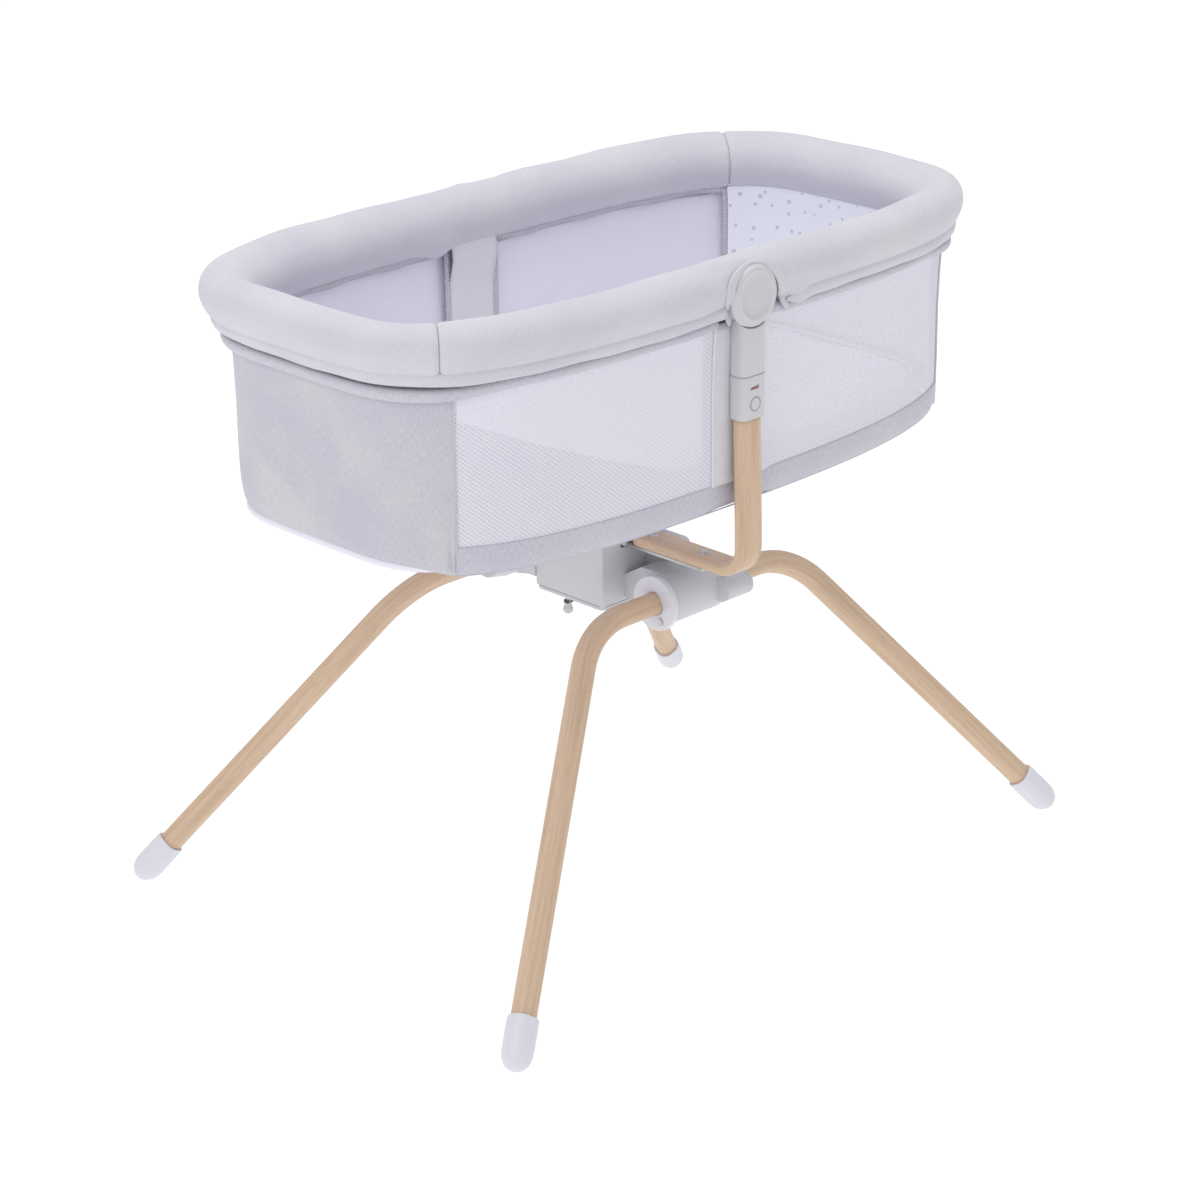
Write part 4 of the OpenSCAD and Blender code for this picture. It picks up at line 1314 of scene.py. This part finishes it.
def make_arm():
    """The bentwood arm: out from under the basket, up in a round bend, and into the socket."""
    mid_z = ARM_Z + ARM_T / 2
    bend_y = POST_Y - ARM_BEND_R
    bend_z = mid_z + ARM_BEND_R
    round_end = np.linspace(0.10, math.pi / 2, 10)
    taper = [ARM_END_Y + ARM_W / 2 * (1 - math.cos(a)) for a in round_end]
    points = [(0, -y, mid_z) for y in taper]
    points += [(0, -y, mid_z) for y in np.linspace(taper[-1], bend_y, 18)[1:]]
    for a in np.linspace(0, math.pi / 2, 18)[1:]:
        points.append((0, -bend_y - ARM_BEND_R * math.sin(a), bend_z - ARM_BEND_R * math.cos(a)))
    for t in np.linspace(0, 1, 20)[1:]:
        lean = (POST_Y - SOCKET_Y) * t * t * (3 - 2 * t)
        points.append((0, -POST_Y + lean, bend_z + (SOCKET_BOTTOM + 0.001 - bend_z) * t))
    scale = np.ones((len(points), 2))
    scale[: len(round_end), 0] = [math.sin(a) for a in round_end]
    section = rounded_section(ARM_W, ARM_T, 0.005)
    return bar("near_bentwood_arm", points, (1, 0, 0), section, BEECH, scale)


pair_up(make_arm(), "far_bentwood_arm", "carriage", "bentwood", "near_arm", "far_arm")


# ---- Hub discs ----
def make_disc():
    """The hub's face: a thin rim, a raised bead and a shallow dished middle."""
    r = HUB_R
    profile = [
        (0.0, 0.0012), (0.012, 0.0013), (0.0200, 0.0017), (0.0218, 0.0022), (0.0232, 0.0038),
        (0.0248, 0.0052), (0.0266, 0.0054), (0.0280, 0.0044), (0.0290, 0.0030), (0.0312, 0.0030),
        (r - 0.0010, 0.0022), (r, 0.0008), (r, -0.0002), (r + 0.0011, -0.0010), (r + 0.0011, -0.0026),
        (r - 0.004, -0.0030), (0.0, -0.0030),
    ]
    fine = resample(smooth_curve(profile, 60), 60)
    fine[:, 0] = np.clip(fine[:, 0], 0, r + 0.0011)
    return turned("near_hub_face", fine, (0, HUB_BACK - 0.0030, HUB_Z), (0, -1, 0), GREY)


pair_up(make_disc(), "far_hub_face", "basket", "grey_plastic", "near_hub_disc", "far_hub_disc")


# ---- Small parts of the arms and sockets ----
GROOVE_R = 0.0006
SHOE_Z = 0.4068


def make_shoe():
    """The plastic shoe between an arm's inner end and the carriage."""
    path = [(0, y, SHOE_Z) for y in np.linspace(-0.030, -0.056, 4)]
    return bar("near_arm_shoe", path, (1, 0, 0), rounded_section(0.039, 0.0165, 0.003), GREY)


def make_socket_joint():
    """The thin shadow line where the hub's arm meets the socket."""
    low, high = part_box("near_socket")
    section = rounded_section(high.x - low.x, high.y - low.y, 0.008)
    path = [(x, y + (low.y + high.y) / 2, high.z) for x, y in section]
    return tube("near_socket_joint", path, GROOVE_R, GROOVE_SHADE, closed=True, sides=6)


def make_button_ring():
    """A dark cord round the release button: painted shade in its groove."""
    low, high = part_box("near_button")
    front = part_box("near_socket")[0].y
    turn = np.linspace(0, 2 * math.pi, 48, endpoint=False)
    middle = (low + high) / 2
    radius = (high.x - low.x) / 2 + GROOVE_R
    path = [(middle.x + radius * math.cos(a), front, middle.z + radius * math.sin(a)) for a in turn]
    return tube("near_button_ring", path, GROOVE_R, GROOVE_SHADE, closed=True, sides=6)


def make_indicator():
    """The narrow indicator bar above the button."""
    low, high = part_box("indicators")
    path = [(x, low.y + 0.0004, (low.z + high.z) / 2 - 0.001) for x in np.linspace(-0.0075, 0.0050, 4)]
    return bar("near_indicator_bar", path, (0, 1, 0), rounded_section(0.0012, 0.0026, 0.0005), ORANGE)


pair_up(make_shoe(), "far_arm_shoe", "carriage", "grey_plastic")
pair_up(make_socket_joint(), "far_socket_joint", "carriage", "grey_plastic")
pair_up(make_button_ring(), "far_button_ring", "carriage", "grey_plastic")
pair_up(make_indicator(), "far_indicator_bar", "carriage", "indicator", "indicators", "indicators")


# ---- Moulded parts: CAD nodes, and how far their edges are rounded ----
SOFTENED = {
    "base_housing": 0.0022,
    "base_lid": 0.0015,
    "base_plate": 0.0015,
    "near_hinge_housing": 0.0025,
    "far_hinge_housing": 0.0025,
    "near_collars": 0.0012,
    "far_collars": 0.0012,
    "hinge_caps": 0.0015,
    "near_socket": 0.0008,
    "far_socket": 0.0008,
    "near_hub_arm": 0.0008,
    "far_hub_arm": 0.0008,
    "near_button": 0.0012,
    "far_button": 0.0012,
}
BODIES = frame["record"]["behaviour"]["bodies"]
BODY_OF = {node: body for body, members in BODIES.items() for node in members}
for node, width in SOFTENED.items():
    piece = softened(node, f"{node}_moulded", width, WHITE if node.endswith("collars") else GREY)
    settle(piece, BODY_OF[node], "grey_plastic", node)

# ---- Finishes of the CAD nodes that show as they are ----
NODE_FINISH = {
    STEEL: (
        "pivot_brackets", "upper_pins", "base_screws", "hinge_screws", "near_axle", "far_axle",
        "near_leg_screws", "far_leg_screws", "near_links", "near_link_shaft", "far_links",
        "far_link_shaft", "carriage_frame", "arm_strap", "arm_bolts", "rim_tube_left", "rim_tube_right",
    ),
    GREY: ("lock_knob", "near_hub_housing", "far_hub_housing"),
    BLACK: ("lock_lever",),
    BOARD: ("base_board",),
}
for material, members in NODE_FINISH.items():
    for node in members:
        slots = frame["nodes"][node].data.materials
        for i in range(len(slots)):
            slots[i] = material
